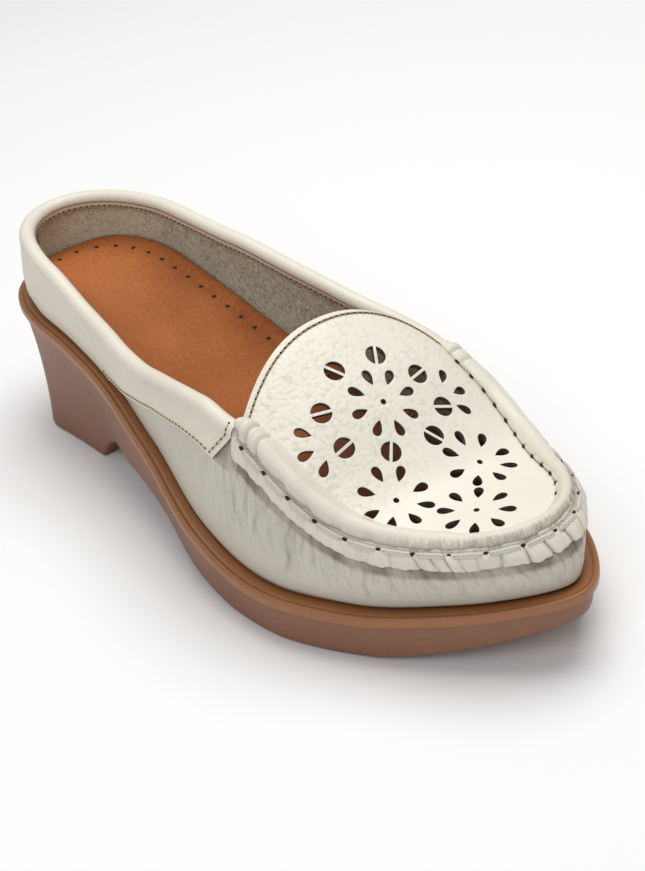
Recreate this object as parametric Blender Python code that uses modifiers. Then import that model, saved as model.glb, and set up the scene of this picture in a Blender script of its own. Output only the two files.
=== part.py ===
"""Right-foot moccasin mule: moulded wedge sole, footbed, punched leather upper, collar and apron ridge.

The toe points along +X, the outer side faces -Y, and the sole stands on z = 0.
"""
import bpy
import bmesh
import numpy as np

# Sole sizes, metres
LENGTH = 0.245            # rim, heel to toe
BALL_WIDTH = 0.100        # rim at the ball
HEEL_HEIGHT = 0.0495      # floor to the rim at the heel
BALL_THICKNESS = 0.0160   # floor to the rim at the ball
TOE_THICKNESS = 0.0102    # sole thickness at the toe
TOE_SPRING = 0.0155       # lift of the toe off the floor
ARCH_HEIGHT = 0.0140
HEEL_SETBACK = 0.0130     # from the rim's back to the back of the heel's base
HEEL_BASE_LENGTH = 0.0400
HEEL_BASE_WIDTH = 0.0510
RIM_LEDGE = 0.0050        # ledge outside the upper
RIM_BEAD = 0.0010         # round edge on the ledge
LEDGE_DROP = 0.0003       # ledge under the top of the bead
RIM_BAND = 0.0031         # height of the smooth band under the ledge
RIM_STEP = 0.0011         # step from the band in to the side wall
RIM_UNDERCUT = 0.0004     # drop of the slope that joins the band to the side wall
WALL_TAPER = 0.0008       # how far the forefoot's side wall leans in at the floor
TREAD_EDGE = 0.0012       # worn round edge of the tread
WALL_WAIST = 0.0012       # hollow of the heel's side wall

# Footbed and upper sizes, metres
INSOLE_THICKNESS = 0.0038
INSOLE_CUP = 0.0018       # rise of the footbed's edge
UPPER_WALL = 0.0017
SIDE_HEIGHT = 0.0450      # rim to the throat corner
TOP_BACK = 0.0062         # from the rim's back to the top edge's back
TOP_FRONT = 0.0130        # from the rim's toe to the ridge's seam
VAMP_BULGE = 0.0040       # largest swell of the wall past a straight line
INSTEP_RISE = 0.0210      # crown of the apron over its throat corners
CROWN_LEAN_SHARE = 0.22         # how much higher the crown stands on the inner half
INNER_LEAD = 0.0060       # how far the inner top edge lies ahead of the outer one
THROAT_REACH = 0.0130     # how far the throat's middle reaches back past its corners
COLLAR_BAND = 0.0012      # leather of the collar
COLLAR_LIP = 0.0050       # how far the collar comes down inside
COLLAR_WIDTH = 0.0205     # height of the collar band outside, at the heel
RIDGE_RADIUS = 0.0040     # rolled ridge round the apron
FLANGE_WIDTH = 0.0062     # raw flange under the ridge
FLANGE_THICKNESS = 0.0018
GAP = 0.0003              # between pieces that touch
FOOT_GAP = 0.0007         # between the apron and the ridge's inner foot

# Punched flowers, metres
BEAN_RADIUS = 0.0032
BEAN_BAR = 0.0009
PETAL_LENGTH = 0.0053
PETAL_WIDTH = 0.0029
FLOWER_RADIUS = 0.0086    # flower's middle to the middle of a petal
EYE_RADIUS = 0.0009
PUNCH_DEPTH = 0.0030

# Places along LENGTH, heel 0 to toe 1
BREAST_SHARE = (HEEL_SETBACK + HEEL_BASE_LENGTH) / LENGTH
THROAT_SHARE = 0.655
COLLAR_END_SHARE = 0.645
FOOTPRINT_START_SHARE = 0.62
FOOTPRINT_END_SHARE = 0.76
STATIONS = 42
STATION_SPACING_SHARE = 0.008       # least distance between two stations
BREAST_STEPS_SHARE = (0.012, 0.032)      # extra stations ahead of the heel's breast
HEEL_RAKE_POWER = 1.3               # how fast the heel's rake fades towards its breast
HEEL_BLEND_SHARE = 0.12             # the wall goes from the heel's base to the rim's plan
WAIST_FADE_SHARE = 0.10
SIDE_ROWS = (0.30, 0.65)            # rows of the sole's side wall, share of its way down
BEAD_ROWS = ((1.10, 0.00), (0.35, 0.25), (0.00, 1.00))      # inset and drop, shares of RIM_BEAD
GROOVE_SHARE = 0.42                 # foot of the bead, share of RIM_LEDGE
INSOLE_EASE_FACTOR = 1.05           # extra room for the footbed where the wall slants
FOLD_SHARE = 0.74                   # round of the collar's fold
FOLD_RISE_SHARE = 1.1               # height of the fold's shoulders, share of COLLAR_BAND
LEAST_LEVEL = 0.05                  # lowest place of a band on the wall
LIP_LEAST_LEVEL = 0.10
FLANGE_LEAST_LEVEL = 0.40
FOOT_ROWS = (1.15, 0.90, 0.60, 0.30)          # rows under the roll, shares of RIDGE_RADIUS
ROLL_ROWS = (0.90, 0.72, 0.50, 0.28, 0.10)    # rows of the roll, shares of a half turn
FLANGE_MIDDLE_SHARE = 0.30
FLANGE_TILT_SHARE = 0.20            # how far the flange's outside leans up
PETAL_FULLNESS = 0.77               # largest value of sin(turn) * sin(turn / 2)
APRON_COLUMNS = 12


def table(names, rows):
    """A table with named columns."""
    return np.array(rows, dtype=[(name, float) for name in names.split()])


# Plan of the rim, half width and shift to the big toe as shares of BALL_WIDTH
OUTLINE = table("along half shift", [
    (0.00, 0.330, 0.000),
    (0.12, 0.307, 0.012),
    (0.25, 0.318, 0.008),
    (0.40, 0.366, -0.010),
    (0.55, 0.459, -0.014),
    (0.68, 0.500, 0.012),
    (0.80, 0.480, 0.044),
    (0.92, 0.408, 0.060),
    (1.00, 0.330, 0.064)])
# Share of LENGTH that rounds off, fullness of the curve, and fullness of its tip
HEEL_ROUND = (0.165, 2.0, 2.0)
TOE_ROUND = (0.305, 1.52, 2.0)
BASE_ROUND = (0.090, 2.7, 2.7)

# Rim height: share of the heel's rise over the ball, and share of the toe's lift
RIM_RISE = table("along rise lift", [
    (0.00, 1.000, 0.00),
    (0.15, 0.962, 0.00),
    (0.30, 0.735, 0.00),
    (0.42, 0.420, 0.00),
    (0.54, 0.150, 0.00),
    (0.67, 0.000, 0.00),
    (0.78, 0.000, 0.02),
    (0.89, 0.000, 0.36),
    (1.00, 0.000, 1.00)])

# Underside: share of ARCH_HEIGHT from the breast to the tread, and share of TOE_SPRING
ARCH = table("along rise", [
    (0.00, 0.00),
    (0.03, 0.32),
    (0.08, 0.68),
    (0.16, 0.94),
    (0.30, 1.00),
    (0.54, 0.72),
    (0.78, 0.22),
    (1.00, 0.00)])
SPRING = table("along lift", [
    (0.00, 0.00),
    (0.24, 0.06),
    (0.50, 0.28),
    (1.00, 1.00)])

# Plan of the upper's top edge, along from TOP_BACK to TOP_FRONT, shares of BALL_WIDTH
TOP_PLAN = table("along half shift", [
    (0.00, 0.250, 0.012),
    (0.12, 0.257, 0.012),
    (0.25, 0.277, 0.012),
    (0.36, 0.310, 0.005),
    (0.46, 0.342, 0.000),
    (0.55, 0.378, 0.006),
    (0.64, 0.407, 0.023),
    (0.72, 0.407, 0.036),
    (0.80, 0.387, 0.042),
    (0.90, 0.350, 0.050),
    (1.00, 0.330, 0.056)])
TOP_HEEL_ROUND = (0.150, 2.0, 2.0)
TOP_TOE_ROUND = (0.270, 2.1, 2.1)

# Heights of the top edge over the rim are shares of SIDE_HEIGHT, the swell of the
# wall is a share of VAMP_BULGE
TOP_EDGE = table("along outer_up inner_up bulge", [
    (0.00, 0.50, 0.50, 0.10),
    (0.08, 0.51, 0.51, 0.10),
    (0.15, 0.46, 0.53, 0.10),
    (0.25, 0.38, 0.60, 0.15),
    (0.33, 0.42, 0.69, 0.25),
    (0.40, 0.53, 0.77, 0.40),
    (0.47, 0.71, 0.83, 0.50),
    (0.55, 0.90, 0.85, 0.65),
    (0.60, 0.97, 0.83, 0.75),
    (0.655, 0.97, 0.76, 0.90),
    (0.70, 0.86, 0.65, 1.00),
    (0.74, 0.74, 0.56, 1.00),
    (0.78, 0.62, 0.50, 1.00),
    (0.82, 0.54, 0.47, 1.00),
    (0.88, 0.49, 0.46, 0.90),
    (0.94, 0.465, 0.465, 0.80),
    (1.00, 0.45, 0.45, 0.75)])

# Section of the wall from the ledge to the top edge: share of its own swell, and
# share of the way from the ledge's plan to the top edge's plan
WALL = table("along swell lean", [
    (0.00, 0.00, 0.00),
    (0.12, 0.17, 0.03),
    (0.34, 0.49, 0.18),
    (0.56, 0.70, 0.40),
    (0.78, 0.62, 0.67),
    (1.00, 0.00, 1.00)])

# Height of the collar band outside as a share of COLLAR_WIDTH
COLLAR = table("along width", [
    (0.00, 1.00),
    (0.15, 1.00),
    (0.25, 0.92),
    (0.33, 0.73),
    (0.40, 0.50),
    (0.46, 0.43),
    (0.53, 0.42),
    (0.60, 0.48),
    (0.645, 0.49)])

# Apron: crown over the line between its sides as a share of INSTEP_RISE, and
# how far a row bows back in the middle as a share of THROAT_REACH
APRON = table("along crown bow", [
    (0.655, 1.00, 1.00),
    (0.69, 0.91, 0.62),
    (0.72, 0.79, 0.38),
    (0.75, 0.62, 0.20),
    (0.79, 0.38, 0.08),
    (0.85, 0.12, 0.00),
    (0.93, 0.06, 0.00),
    (1.00, 0.00, 0.00)])
APRON_POWER = 2.3

# Punched pattern in plan. Places are shares of LENGTH along and of BALL_WIDTH across
PATTERN_SHIFT_SHARE = 0.026
FLOWERS = table("along across whole", [
    (0.703, -0.008, 1),
    (0.792, -0.151, 1),
    (0.796, 0.153, 1),
    (0.864, -0.006, 1),
    (0.711, -0.216, 0),
    (0.716, 0.172, 0)])
BEANS = table("along across", [
    (0.654, -0.086),
    (0.656, 0.062),
    (0.684, -0.196),
    (0.688, 0.152),
    (0.723, -0.194),
    (0.726, 0.166),
    (0.747, -0.074),
    (0.750, 0.079)])
PATTERN_TURN = -0.09      # radians about the first flower

COLOURS = {
    "sole": (0.30, 0.13, 0.052, 1.0),
    "insole": (0.50, 0.19, 0.060, 1.0),
    "upper": (0.74, 0.69, 0.58, 1.0),
    "collar": (0.76, 0.71, 0.60, 1.0),
    "apron_ridge": (0.75, 0.70, 0.59, 1.0)}
ROUGHNESS = {"sole": 0.55, "insole": 0.80, "upper": 0.50, "collar": 0.48, "apron_ridge": 0.48}


def smooth(rows, column, at):
    """Cubic curve through a table's column that never swings past its values."""
    knots, values = rows["along"], rows[column]
    span = np.diff(knots)
    slope = np.diff(values) / span
    inner = np.zeros(len(knots))
    same = slope[:-1] * slope[1:] > 0
    first, second = slope[:-1][same], slope[1:][same]
    w1, w2 = (2 * span[1:] + span[:-1])[same], (span[1:] + 2 * span[:-1])[same]
    inner[1:-1][same] = (w1 + w2) / (w1 / first + w2 / second)
    inner[0], inner[-1] = slope[0], slope[-1]
    at = np.clip(at, knots[0], knots[-1])
    i = np.clip(np.searchsorted(knots, at, side="right") - 1, 0, len(span) - 1)
    t = (at - knots[i]) / span[i]
    return (values[i] * (1 + 2 * t) * (1 - t) ** 2 + values[i + 1] * t * t * (3 - 2 * t)
            + span[i] * (inner[i] * t * (1 - t) ** 2 - inner[i + 1] * t * t * (1 - t)))


def round_off(distance, end):
    """Width share near an end: 0 at the tip, 1 where the rounding stops."""
    reach, power, tip = end
    u = np.clip(1 - distance / reach, 0, 1)
    return np.clip(1 - u ** power, 0, 1) ** (1 / tip)


def stations():
    """Places from heel to toe, closer together at both ends and at the heel's breast."""
    even = (1 - np.cos(np.linspace(0, np.pi, STATIONS + 1))) / 2
    steps = BREAST_SHARE + np.array(BREAST_STEPS_SHARE)
    ends = [FOOTPRINT_START_SHARE, COLLAR_END_SHARE, THROAT_SHARE, FOOTPRINT_END_SHARE]
    near = np.concatenate([[BREAST_SHARE], steps, ends])
    kept = even[np.abs(even[:, None] - near[None]).min(axis=1) > STATION_SPACING_SHARE]
    return np.sort(np.concatenate([kept, near]))


ALONG = stations()
COUNT = len(ALONG) - 1
# Round the sole: out along the outer side from heel to toe, back along the inner side
ORDER = np.concatenate([np.arange(COUNT + 1), np.arange(COUNT - 1, 0, -1)])
SIDE = np.where(np.arange(2 * COUNT) <= COUNT, -1.0, 1.0)


def plan(along):
    """Half width and shift of the rim at each place."""
    half = smooth(OUTLINE, "half", along) * BALL_WIDTH
    half = half * round_off(along, HEEL_ROUND) * round_off(1 - along, TOE_ROUND)
    return half, smooth(OUTLINE, "shift", along) * BALL_WIDTH


def rim_height(along):
    toe_rise = TOE_SPRING + TOE_THICKNESS - BALL_THICKNESS
    rise = smooth(RIM_RISE, "rise", along) * (HEEL_HEIGHT - BALL_THICKNESS)
    return BALL_THICKNESS + rise + smooth(RIM_RISE, "lift", along) * toe_rise


def underside(along):
    """Height of the tread over the floor: flat heel, arch, flat tread, toe spring."""
    under_arch = (along - BREAST_SHARE) / (FOOTPRINT_START_SHARE - BREAST_SHARE)
    under_toe = (along - FOOTPRINT_END_SHARE) / (1 - FOOTPRINT_END_SHARE)
    return smooth(ARCH, "rise", under_arch) * ARCH_HEIGHT + smooth(SPRING, "lift", under_toe) * TOE_SPRING


def share(x):
    """Place along LENGTH of an X coordinate."""
    return np.clip(x / LENGTH + 0.5, 0, 1)


HALF, SHIFT = plan(ALONG)
CENTRE = ((SHIFT + HALF).max() + (SHIFT - HALF).min()) / 2
SHIFT = SHIFT - CENTRE
RIM = np.column_stack([(ALONG[ORDER] - 0.5) * LENGTH, SHIFT[ORDER] + SIDE * HALF[ORDER]])
TANGENT = np.roll(RIM, -1, axis=0) - np.roll(RIM, 1, axis=0)
OUTWARD = np.column_stack([TANGENT[:, 1], -TANGENT[:, 0]])
OUTWARD /= np.linalg.norm(OUTWARD, axis=1)[:, None]


def ring(inset, drop):
    """The rim's outline moved in by inset and down by drop from the rim's height."""
    xy = RIM - OUTWARD * np.reshape(inset, (-1, 1))
    return np.column_stack([xy, rim_height(share(xy[:, 0])) - drop])


def rows_across(edge, columns, height):
    """Grid of rows from the outer to the inner side of a closed ring of points."""
    outer, inner = edge[:COUNT + 1], edge[np.r_[0, 2 * COUNT - 1:COUNT - 1:-1]]
    v = np.linspace(0, 1, columns + 1)[None, :, None]
    grid = outer[:, None] * (1 - v) + inner[:, None] * v
    grid[:, 1:-1, 2] = height(grid[:, 1:-1, 0], grid[:, 1:-1, 1])
    return grid


def closed(rings):
    """Grid of rings, each with its first point repeated at the end."""
    rings = np.array(rings)
    return np.concatenate([rings, rings[:, :1]], axis=1)


def add_mesh(name, grids, collection):
    """One mesh from point grids that share their borders, welded, faces outward."""
    points, faces, first = [], [], 0
    for grid in grids:
        rows, columns = grid.shape[:2]
        points.append(grid.reshape(-1, 3))
        corner = first + np.arange(rows * columns).reshape(rows, columns)
        quads = np.stack([corner[:-1, :-1], corner[:-1, 1:], corner[1:, 1:], corner[1:, :-1]], axis=-1)
        faces.append(quads.reshape(-1, 4))
        first += rows * columns
    mesh = bpy.data.meshes.new(name)
    mesh.from_pydata(np.concatenate(points).tolist(), [], np.concatenate(faces).tolist())
    work = bmesh.new()
    work.from_mesh(mesh)
    bmesh.ops.remove_doubles(work, verts=work.verts, dist=2e-6)
    bmesh.ops.dissolve_degenerate(work, edges=work.edges, dist=1e-7)
    bmesh.ops.recalc_face_normals(work, faces=work.faces)
    work.to_mesh(mesh)
    work.free()
    mesh.shade_smooth()
    piece = bpy.data.objects.new(name, mesh)
    collection.objects.link(piece)
    return piece


def paint(piece):
    material = bpy.data.materials.new(piece.name)
    material.use_nodes = True
    shader = material.node_tree.nodes["Principled BSDF"]
    shader.inputs["Base Color"].default_value = COLOURS[piece.name]
    shader.inputs["Roughness"].default_value = ROUGHNESS[piece.name]
    piece.data.materials.append(material)


def tread_ring(inset, lift):
    """Bottom outline: the rim's, pulled forward and narrowed to the heel's square base."""
    along = ALONG[ORDER]
    fade = np.clip(1 - along / BREAST_SHARE, 0, 1) ** HEEL_RAKE_POWER
    narrow = np.clip((BREAST_SHARE + HEEL_BLEND_SHARE - along) / HEEL_BLEND_SHARE, 0, 1)
    narrow = narrow * narrow * (3 - 2 * narrow)
    half_base = HEEL_BASE_WIDTH / 2 * round_off(along, BASE_ROUND)
    half_rim = HALF[ORDER] - RIM_STEP - WALL_TAPER
    half = half_base * narrow + half_rim * (1 - narrow)
    x = RIM[:, 0] + HEEL_SETBACK * fade - (RIM_STEP + WALL_TAPER) * OUTWARD[:, 0] * (1 - narrow)
    y = SHIFT[ORDER] + SIDE * np.clip(half, 0, None)
    edge = np.column_stack([x, y])
    way = np.roll(edge, -1, axis=0) - np.roll(edge, 1, axis=0)
    out = np.column_stack([way[:, 1], -way[:, 0]]) / np.linalg.norm(way, axis=1)[:, None]
    edge = edge - out * inset
    return np.column_stack([edge, underside(share(edge[:, 0])) + lift])


def make_sole(collection):
    """Rings from the ledge over the bead, down the band and step to the tread's edge."""
    rings = [
        ring(RIM_LEDGE + UPPER_WALL, LEDGE_DROP), ring(RIM_LEDGE * GROOVE_SHARE, LEDGE_DROP)]
    rings += [ring(RIM_BEAD * inset, RIM_BEAD * drop) for inset, drop in BEAD_ROWS]
    rings += [ring(0.0, RIM_BAND), ring(RIM_STEP, RIM_BAND + RIM_UNDERCUT)]
    top, bottom = rings[-1], tread_ring(0.0, TREAD_EDGE)
    waist = np.clip((BREAST_SHARE + WAIST_FADE_SHARE - ALONG[ORDER]) / WAIST_FADE_SHARE, 0, 1)
    for t in SIDE_ROWS:
        middle = top * (1 - t) + bottom * t
        middle[:, :2] -= OUTWARD * (WALL_WAIST * 4 * t * (1 - t) * waist)[:, None]
        rings.append(middle)
    rings += [bottom, tread_ring(TREAD_EDGE, 0.0)]
    top_cap = rows_across(rings[0], 2, lambda x, y: rim_height(share(x)) - LEDGE_DROP)
    tread = rows_across(rings[-1], 2, lambda x, y: underside(share(x)))
    return add_mesh("sole", [closed(rings), top_cap, tread], collection)


def top_edge():
    """Top edge of the side walls: its plan, its outward direction and its height over the rim."""
    along = ALONG[ORDER]
    half = smooth(TOP_PLAN, "half", along) * BALL_WIDTH
    half = half * round_off(along, TOP_HEEL_ROUND) * round_off(1 - along, TOP_TOE_ROUND)
    shift = smooth(TOP_PLAN, "shift", along) * BALL_WIDTH - CENTRE
    x = TOP_BACK - LENGTH / 2 + along * (LENGTH - TOP_BACK - TOP_FRONT)
    x = x + np.where(SIDE > 0, INNER_LEAD * np.sin(np.pi * along) ** 2, 0.0)
    plan_points = np.column_stack([x, shift + SIDE * half])
    way = np.roll(plan_points, -1, axis=0) - np.roll(plan_points, 1, axis=0)
    out = np.column_stack([way[:, 1], -way[:, 0]]) / np.linalg.norm(way, axis=1)[:, None]
    up = np.where(SIDE < 0, smooth(TOP_EDGE, "outer_up", along), smooth(TOP_EDGE, "inner_up", along))
    return plan_points, out, up * SIDE_HEIGHT


TOP_XY, TOP_OUT, TOP_UP = top_edge()


def wall_point(level):
    """Outer surface of the side wall, level 0 on the ledge to 1 at the top edge."""
    level = np.broadcast_to(level, TOP_UP.shape)
    low = ring(RIM_LEDGE, -GAP)
    high = np.column_stack([TOP_XY, rim_height(share(TOP_XY[:, 0])) + TOP_UP])
    swell = np.interp(level, WALL["along"], WALL["swell"]) * VAMP_BULGE
    swell = swell * smooth(TOP_EDGE, "bulge", ALONG[ORDER])
    lean = np.interp(level, WALL["along"], WALL["lean"])
    xy = low[:, :2] * (1 - lean)[:, None] + high[:, :2] * lean[:, None] + OUTWARD * swell[:, None]
    return np.column_stack([xy, low[:, 2] * (1 - level) + high[:, 2] * level])


def make_insole(collection):
    """Plate on the sole whose sides follow the inside of the wall, cupped at its edge."""
    inside = UPPER_WALL + 2 * GAP
    low = ring(RIM_LEDGE + inside, -GAP)
    rise = INSOLE_THICKNESS + INSOLE_CUP
    high = wall_point(rise / TOP_UP)
    high[:, :2] -= OUTWARD * inside * INSOLE_EASE_FACTOR
    reach = np.abs(high[:, 1] - SHIFT[ORDER])[:COUNT + 1]

    def dished(x, y):
        half = np.maximum(np.interp(share(x), ALONG, reach), INSOLE_THICKNESS)
        v = np.clip(np.abs(y - np.interp(share(x), ALONG, SHIFT)) / half, 0, 1)
        return rim_height(share(x)) + GAP + INSOLE_THICKNESS + INSOLE_CUP * v ** 3
    top = rows_across(high, 4, dished)
    base = rows_across(low, 4, lambda x, y: rim_height(share(x)) + GAP)
    return add_mesh("insole", [closed([low, high]), top, base], collection)


def apron_grid(columns):
    """Rows across from the outer to the inner top edge, crowned and bowed back."""
    edge = wall_point(1.0)
    first = int(np.argmin(np.abs(ALONG - THROAT_SHARE)))
    outer, inner = edge[:COUNT + 1], edge[np.r_[0, 2 * COUNT - 1:COUNT - 1:-1]]
    outer, inner, along = outer[first:], inner[first:], ALONG[first:]
    v = np.linspace(-1, 1, columns + 1)[None, :]
    grid = outer[:, None] * ((1 - v) / 2)[..., None] + inner[:, None] * ((1 + v) / 2)[..., None]
    arc = (1 - np.abs(v) ** APRON_POWER) * (1 + CROWN_LEAN_SHARE * v)
    grid[..., 2] += (smooth(APRON, "crown", along) * INSTEP_RISE)[:, None] * arc
    grid[..., 0] -= (smooth(APRON, "bow", along) * THROAT_REACH)[:, None] * (1 - v * v)
    return grid


APRON_GRID = apron_grid(APRON_COLUMNS * 2)


def apron_place(x, y):
    """Point of the apron over a place in plan, and the surface's normal there."""
    corners = APRON_GRID
    best = np.argmin((corners[..., 0] - x) ** 2 + (corners[..., 1] - y) ** 2)
    row, column = np.unravel_index(best, corners.shape[:2])
    row = int(np.clip(row, 1, corners.shape[0] - 2))
    column = int(np.clip(column, 1, corners.shape[1] - 2))
    along = corners[row + 1, column] - corners[row - 1, column]
    across = corners[row, column + 1] - corners[row, column - 1]
    normal = np.cross(along, across)
    normal /= np.linalg.norm(normal)
    base = corners[row, column]
    z = base[2] - (normal[0] * (x - base[0]) + normal[1] * (y - base[1])) / normal[2]
    return np.array([x, y, z]), normal


def make_upper(collection, cutters):
    """Side walls and apron as one open surface, thickened inward and punched."""
    walls = closed([wall_point(level) for level in WALL["along"]])
    upper = add_mesh("upper", [walls, apron_grid(APRON_COLUMNS)], collection)
    shell = upper.modifiers.new("wall", "SOLIDIFY")
    shell.thickness = UPPER_WALL
    shell.offset = -1.0
    shell.use_even_offset = True
    punch = upper.modifiers.new("flowers", "BOOLEAN")
    punch.operation = "DIFFERENCE"
    punch.solver = "EXACT"
    punch.object = make_punches(cutters)
    return upper


def petal_outline():
    """Drop shape along +u: a point towards the flower's middle, a round outer end.

    Its half width at each turn is sin(turn) * sin(turn / 2), raised to PETAL_WIDTH / 2.
    """
    turn = np.arange(7) * 2 * np.pi / 7
    half = np.sin(turn) * np.sin(turn / 2)
    return np.column_stack([-PETAL_LENGTH / 2 * np.cos(turn), PETAL_WIDTH / 2 * half / PETAL_FULLNESS])


def half_bean_outline(side):
    """Half of a round hole, cut straight along the bar that splits it."""
    start = np.arcsin(BEAN_BAR / 2 / BEAN_RADIUS)
    bend = np.linspace(start, np.pi - start, 7)
    return np.column_stack([BEAN_RADIUS * np.cos(bend), side * BEAN_RADIUS * np.sin(bend)])


def eye_outline():
    bend = np.linspace(0, 2 * np.pi, 6, endpoint=False)
    return EYE_RADIUS * np.column_stack([np.cos(bend), np.sin(bend)])


def pattern_place(along, across):
    """Place in plan of a spot of the pattern, turned about the first flower."""
    start = FLOWERS[0]["along"]
    ahead, aside = (along - start) * LENGTH, across * BALL_WIDTH
    cos, sin = np.cos(PATTERN_TURN), np.sin(PATTERN_TURN)
    x = (start - 0.5) * LENGTH + ahead * cos - aside * sin
    return x, PATTERN_SHIFT_SHARE * BALL_WIDTH - CENTRE + ahead * sin + aside * cos


def hole_outlines():
    """Every hole as its middle in plan, its turn, and its outline."""
    holes = []
    for flower in FLOWERS:
        x, y = pattern_place(flower["along"], flower["across"])
        turns = np.arange(8) * np.pi / 4
        if flower["whole"]:
            holes.append((x, y, 0.0, 0.0, eye_outline()))
        else:
            turns = np.sign(flower["across"]) * np.array([0.25, 0.5, 0.75]) * np.pi
        for turn in turns:
            holes.append((x, y, turn + PATTERN_TURN, FLOWER_RADIUS, petal_outline()))
    middle = FLOWERS[0]
    for bean in BEANS:
        x, y = pattern_place(bean["along"], bean["across"])
        aside, ahead = bean["across"] * BALL_WIDTH, (bean["along"] - middle["along"]) * LENGTH
        turn = np.arctan2(aside, ahead) + PATTERN_TURN
        holes.append((x, y, turn, 0.0, half_bean_outline(1)))
        holes.append((x, y, turn, 0.0, half_bean_outline(-1)))
    return holes


def make_punches(cutters):
    """One cutter of prisms that stand on the apron's surface."""
    points, faces = [], []
    for x, y, turn, reach, outline in hole_outlines():
        base, normal = apron_place(x, y)
        forward = np.cross([0.0, 1.0, 0.0], normal)
        forward /= np.linalg.norm(forward)
        left = np.cross(normal, forward)
        ahead = forward * np.cos(turn) + left * np.sin(turn)
        aside = left * np.cos(turn) - forward * np.sin(turn)
        if reach:
            spot = base + ahead * reach
            base, normal = apron_place(spot[0], spot[1])
            aside = np.cross(normal, ahead)
            aside /= np.linalg.norm(aside)
            ahead = np.cross(aside, normal)
        flat = base + outline[:, :1] * ahead + outline[:, 1:] * aside
        count, first = len(outline), len(points)
        points += (flat + normal * PUNCH_DEPTH).tolist() + (flat - normal * PUNCH_DEPTH).tolist()
        faces.append(list(range(first, first + count)))
        faces.append(list(range(first + 2 * count - 1, first + count - 1, -1)))
        for k in range(count):
            after = (k + 1) % count
            faces.append([first + k, first + count + k, first + count + after, first + after])
    mesh = bpy.data.meshes.new("punches")
    mesh.from_pydata(points, [], faces)
    work = bmesh.new()
    work.from_mesh(mesh)
    bmesh.ops.recalc_face_normals(work, faces=work.faces)
    work.to_mesh(mesh)
    work.free()
    cutter = bpy.data.objects.new("punches", mesh)
    cutter.hide_render = True
    cutter.display_type = "WIRE"
    cutters.objects.link(cutter)
    return cutter


def make_collar(collection):
    """Strip outside the wall, folded over the top edge and a little down inside."""
    near = np.where(ALONG <= COLLAR_END_SHARE)[0]
    path = np.concatenate([2 * COUNT - near[:0:-1], near])
    width = smooth(COLLAR, "width", ALONG[ORDER]) * COLLAR_WIDTH
    low = 1 - np.clip(width / TOP_UP, 0, 1 - LEAST_LEVEL)
    lip_level = 1 - np.clip(COLLAR_LIP / TOP_UP, 0, 1 - LIP_LEAST_LEVEL)

    def beside(level, distance, rise=0.0):
        point = wall_point(level)
        point[:, :2] += TOP_OUT * distance
        point[:, 2] += rise
        return point[path]
    skin, inside = GAP + COLLAR_BAND, -UPPER_WALL - 2 * GAP
    middle = -UPPER_WALL / 2
    fold, rise = (skin - middle) * FOLD_SHARE, COLLAR_BAND * FOLD_RISE_SHARE
    levels = [low] + [np.maximum(low, level) for level in WALL["along"][1:-1]]
    outer = [beside(level, skin) for level in levels]
    outer += [
        beside(1.0, skin), beside(1.0, middle + fold, rise),
        beside(1.0, middle, COLLAR_BAND + 2 * GAP), beside(1.0, middle - fold, rise),
        beside(1.0, inside - COLLAR_BAND), beside(lip_level, inside - COLLAR_BAND)]
    inner = [beside(level, GAP) for level in levels]
    inner += [beside(1.0, distance, GAP) for distance in np.linspace(GAP, inside, 5)]
    inner.append(beside(lip_level, inside))
    return sweep("collar", outer, inner, collection)


def sweep(name, outer, inner, collection):
    """Skin between two rows of paths, point by point, closed at its borders and ends."""
    tube = np.array(outer + inner[::-1] + outer[:1])
    ends = [np.array([np.array(outer)[:, end], np.array(inner)[:, end]]) for end in (0, -1)]
    return add_mesh(name, [tube] + ends, collection)


def unit(vectors):
    return vectors / np.linalg.norm(vectors, axis=1)[:, None]


def make_ridge(collection):
    """Rolled ridge over the seam between wall and apron, with the flange under it."""
    first = int(np.argmin(np.abs(ALONG - THROAT_SHARE)))
    path = np.arange(first, 2 * COUNT - first + 1)
    seam = wall_point(1.0)[path]
    low = 1 - np.clip(FLANGE_WIDTH / TOP_UP, 0, 1 - FLANGE_LEAST_LEVEL)
    levels = [1 - (1 - low) * FLANGE_MIDDLE_SHARE, np.maximum(low, WALL["along"][-2]), low]
    flange = [wall_point(level)[path] for level in levels]
    out = np.column_stack([TOP_OUT[path], np.zeros(len(path))])
    feet = [seam - out * RIDGE_RADIUS * reach for reach in FOOT_ROWS]
    for spot in feet:
        for point in spot:
            point[:] = apron_place(point[0], point[1])[0]
    inward, down = unit(feet[0] - seam), unit(flange[-1] - seam)
    peak = unit(-(inward + down))
    across = unit(down - inward)
    wall_out = unit(out + peak * FLANGE_TILT_SHARE)
    apron_up = unit(peak - inward * (peak * inward).sum(axis=1)[:, None])
    inner = [foot + apron_up * FOOT_GAP for foot in feet]
    inner.append(seam + peak * GAP * 1.5)
    inner += [spot + wall_out * GAP for spot in flange]
    outer = []
    for turn in ROLL_ROWS:
        angle = turn * np.pi
        outer.append(seam + across * RIDGE_RADIUS * np.cos(angle)
                     + peak * (GAP + RIDGE_RADIUS * np.sin(angle)))
    outer += [spot + wall_out * (GAP + FLANGE_THICKNESS) for spot in flange]
    return sweep("apron_ridge", outer, inner, collection)


def main():
    for old in list(bpy.data.objects):
        bpy.data.objects.remove(old)
    shoe = bpy.data.collections.new("moccasin_mule")
    cutters = bpy.data.collections.new("cutters")
    bpy.context.scene.collection.children.link(shoe)
    bpy.context.scene.collection.children.link(cutters)
    lower = [make_sole(shoe), make_insole(shoe)]
    leather = [make_upper(shoe, cutters), make_collar(shoe), make_ridge(shoe)]
    for piece in lower + leather:
        paint(piece)


main()
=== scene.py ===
"""Looks of the right-foot moccasin mule: sole, footbed, leather upper, ridge, collar and stitches.

The toe points along +X and the outer side faces -Y. Sizes are in metres.
"""

import bmesh
import bpy
import numpy as np
from mathutils import Matrix, Vector


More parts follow.
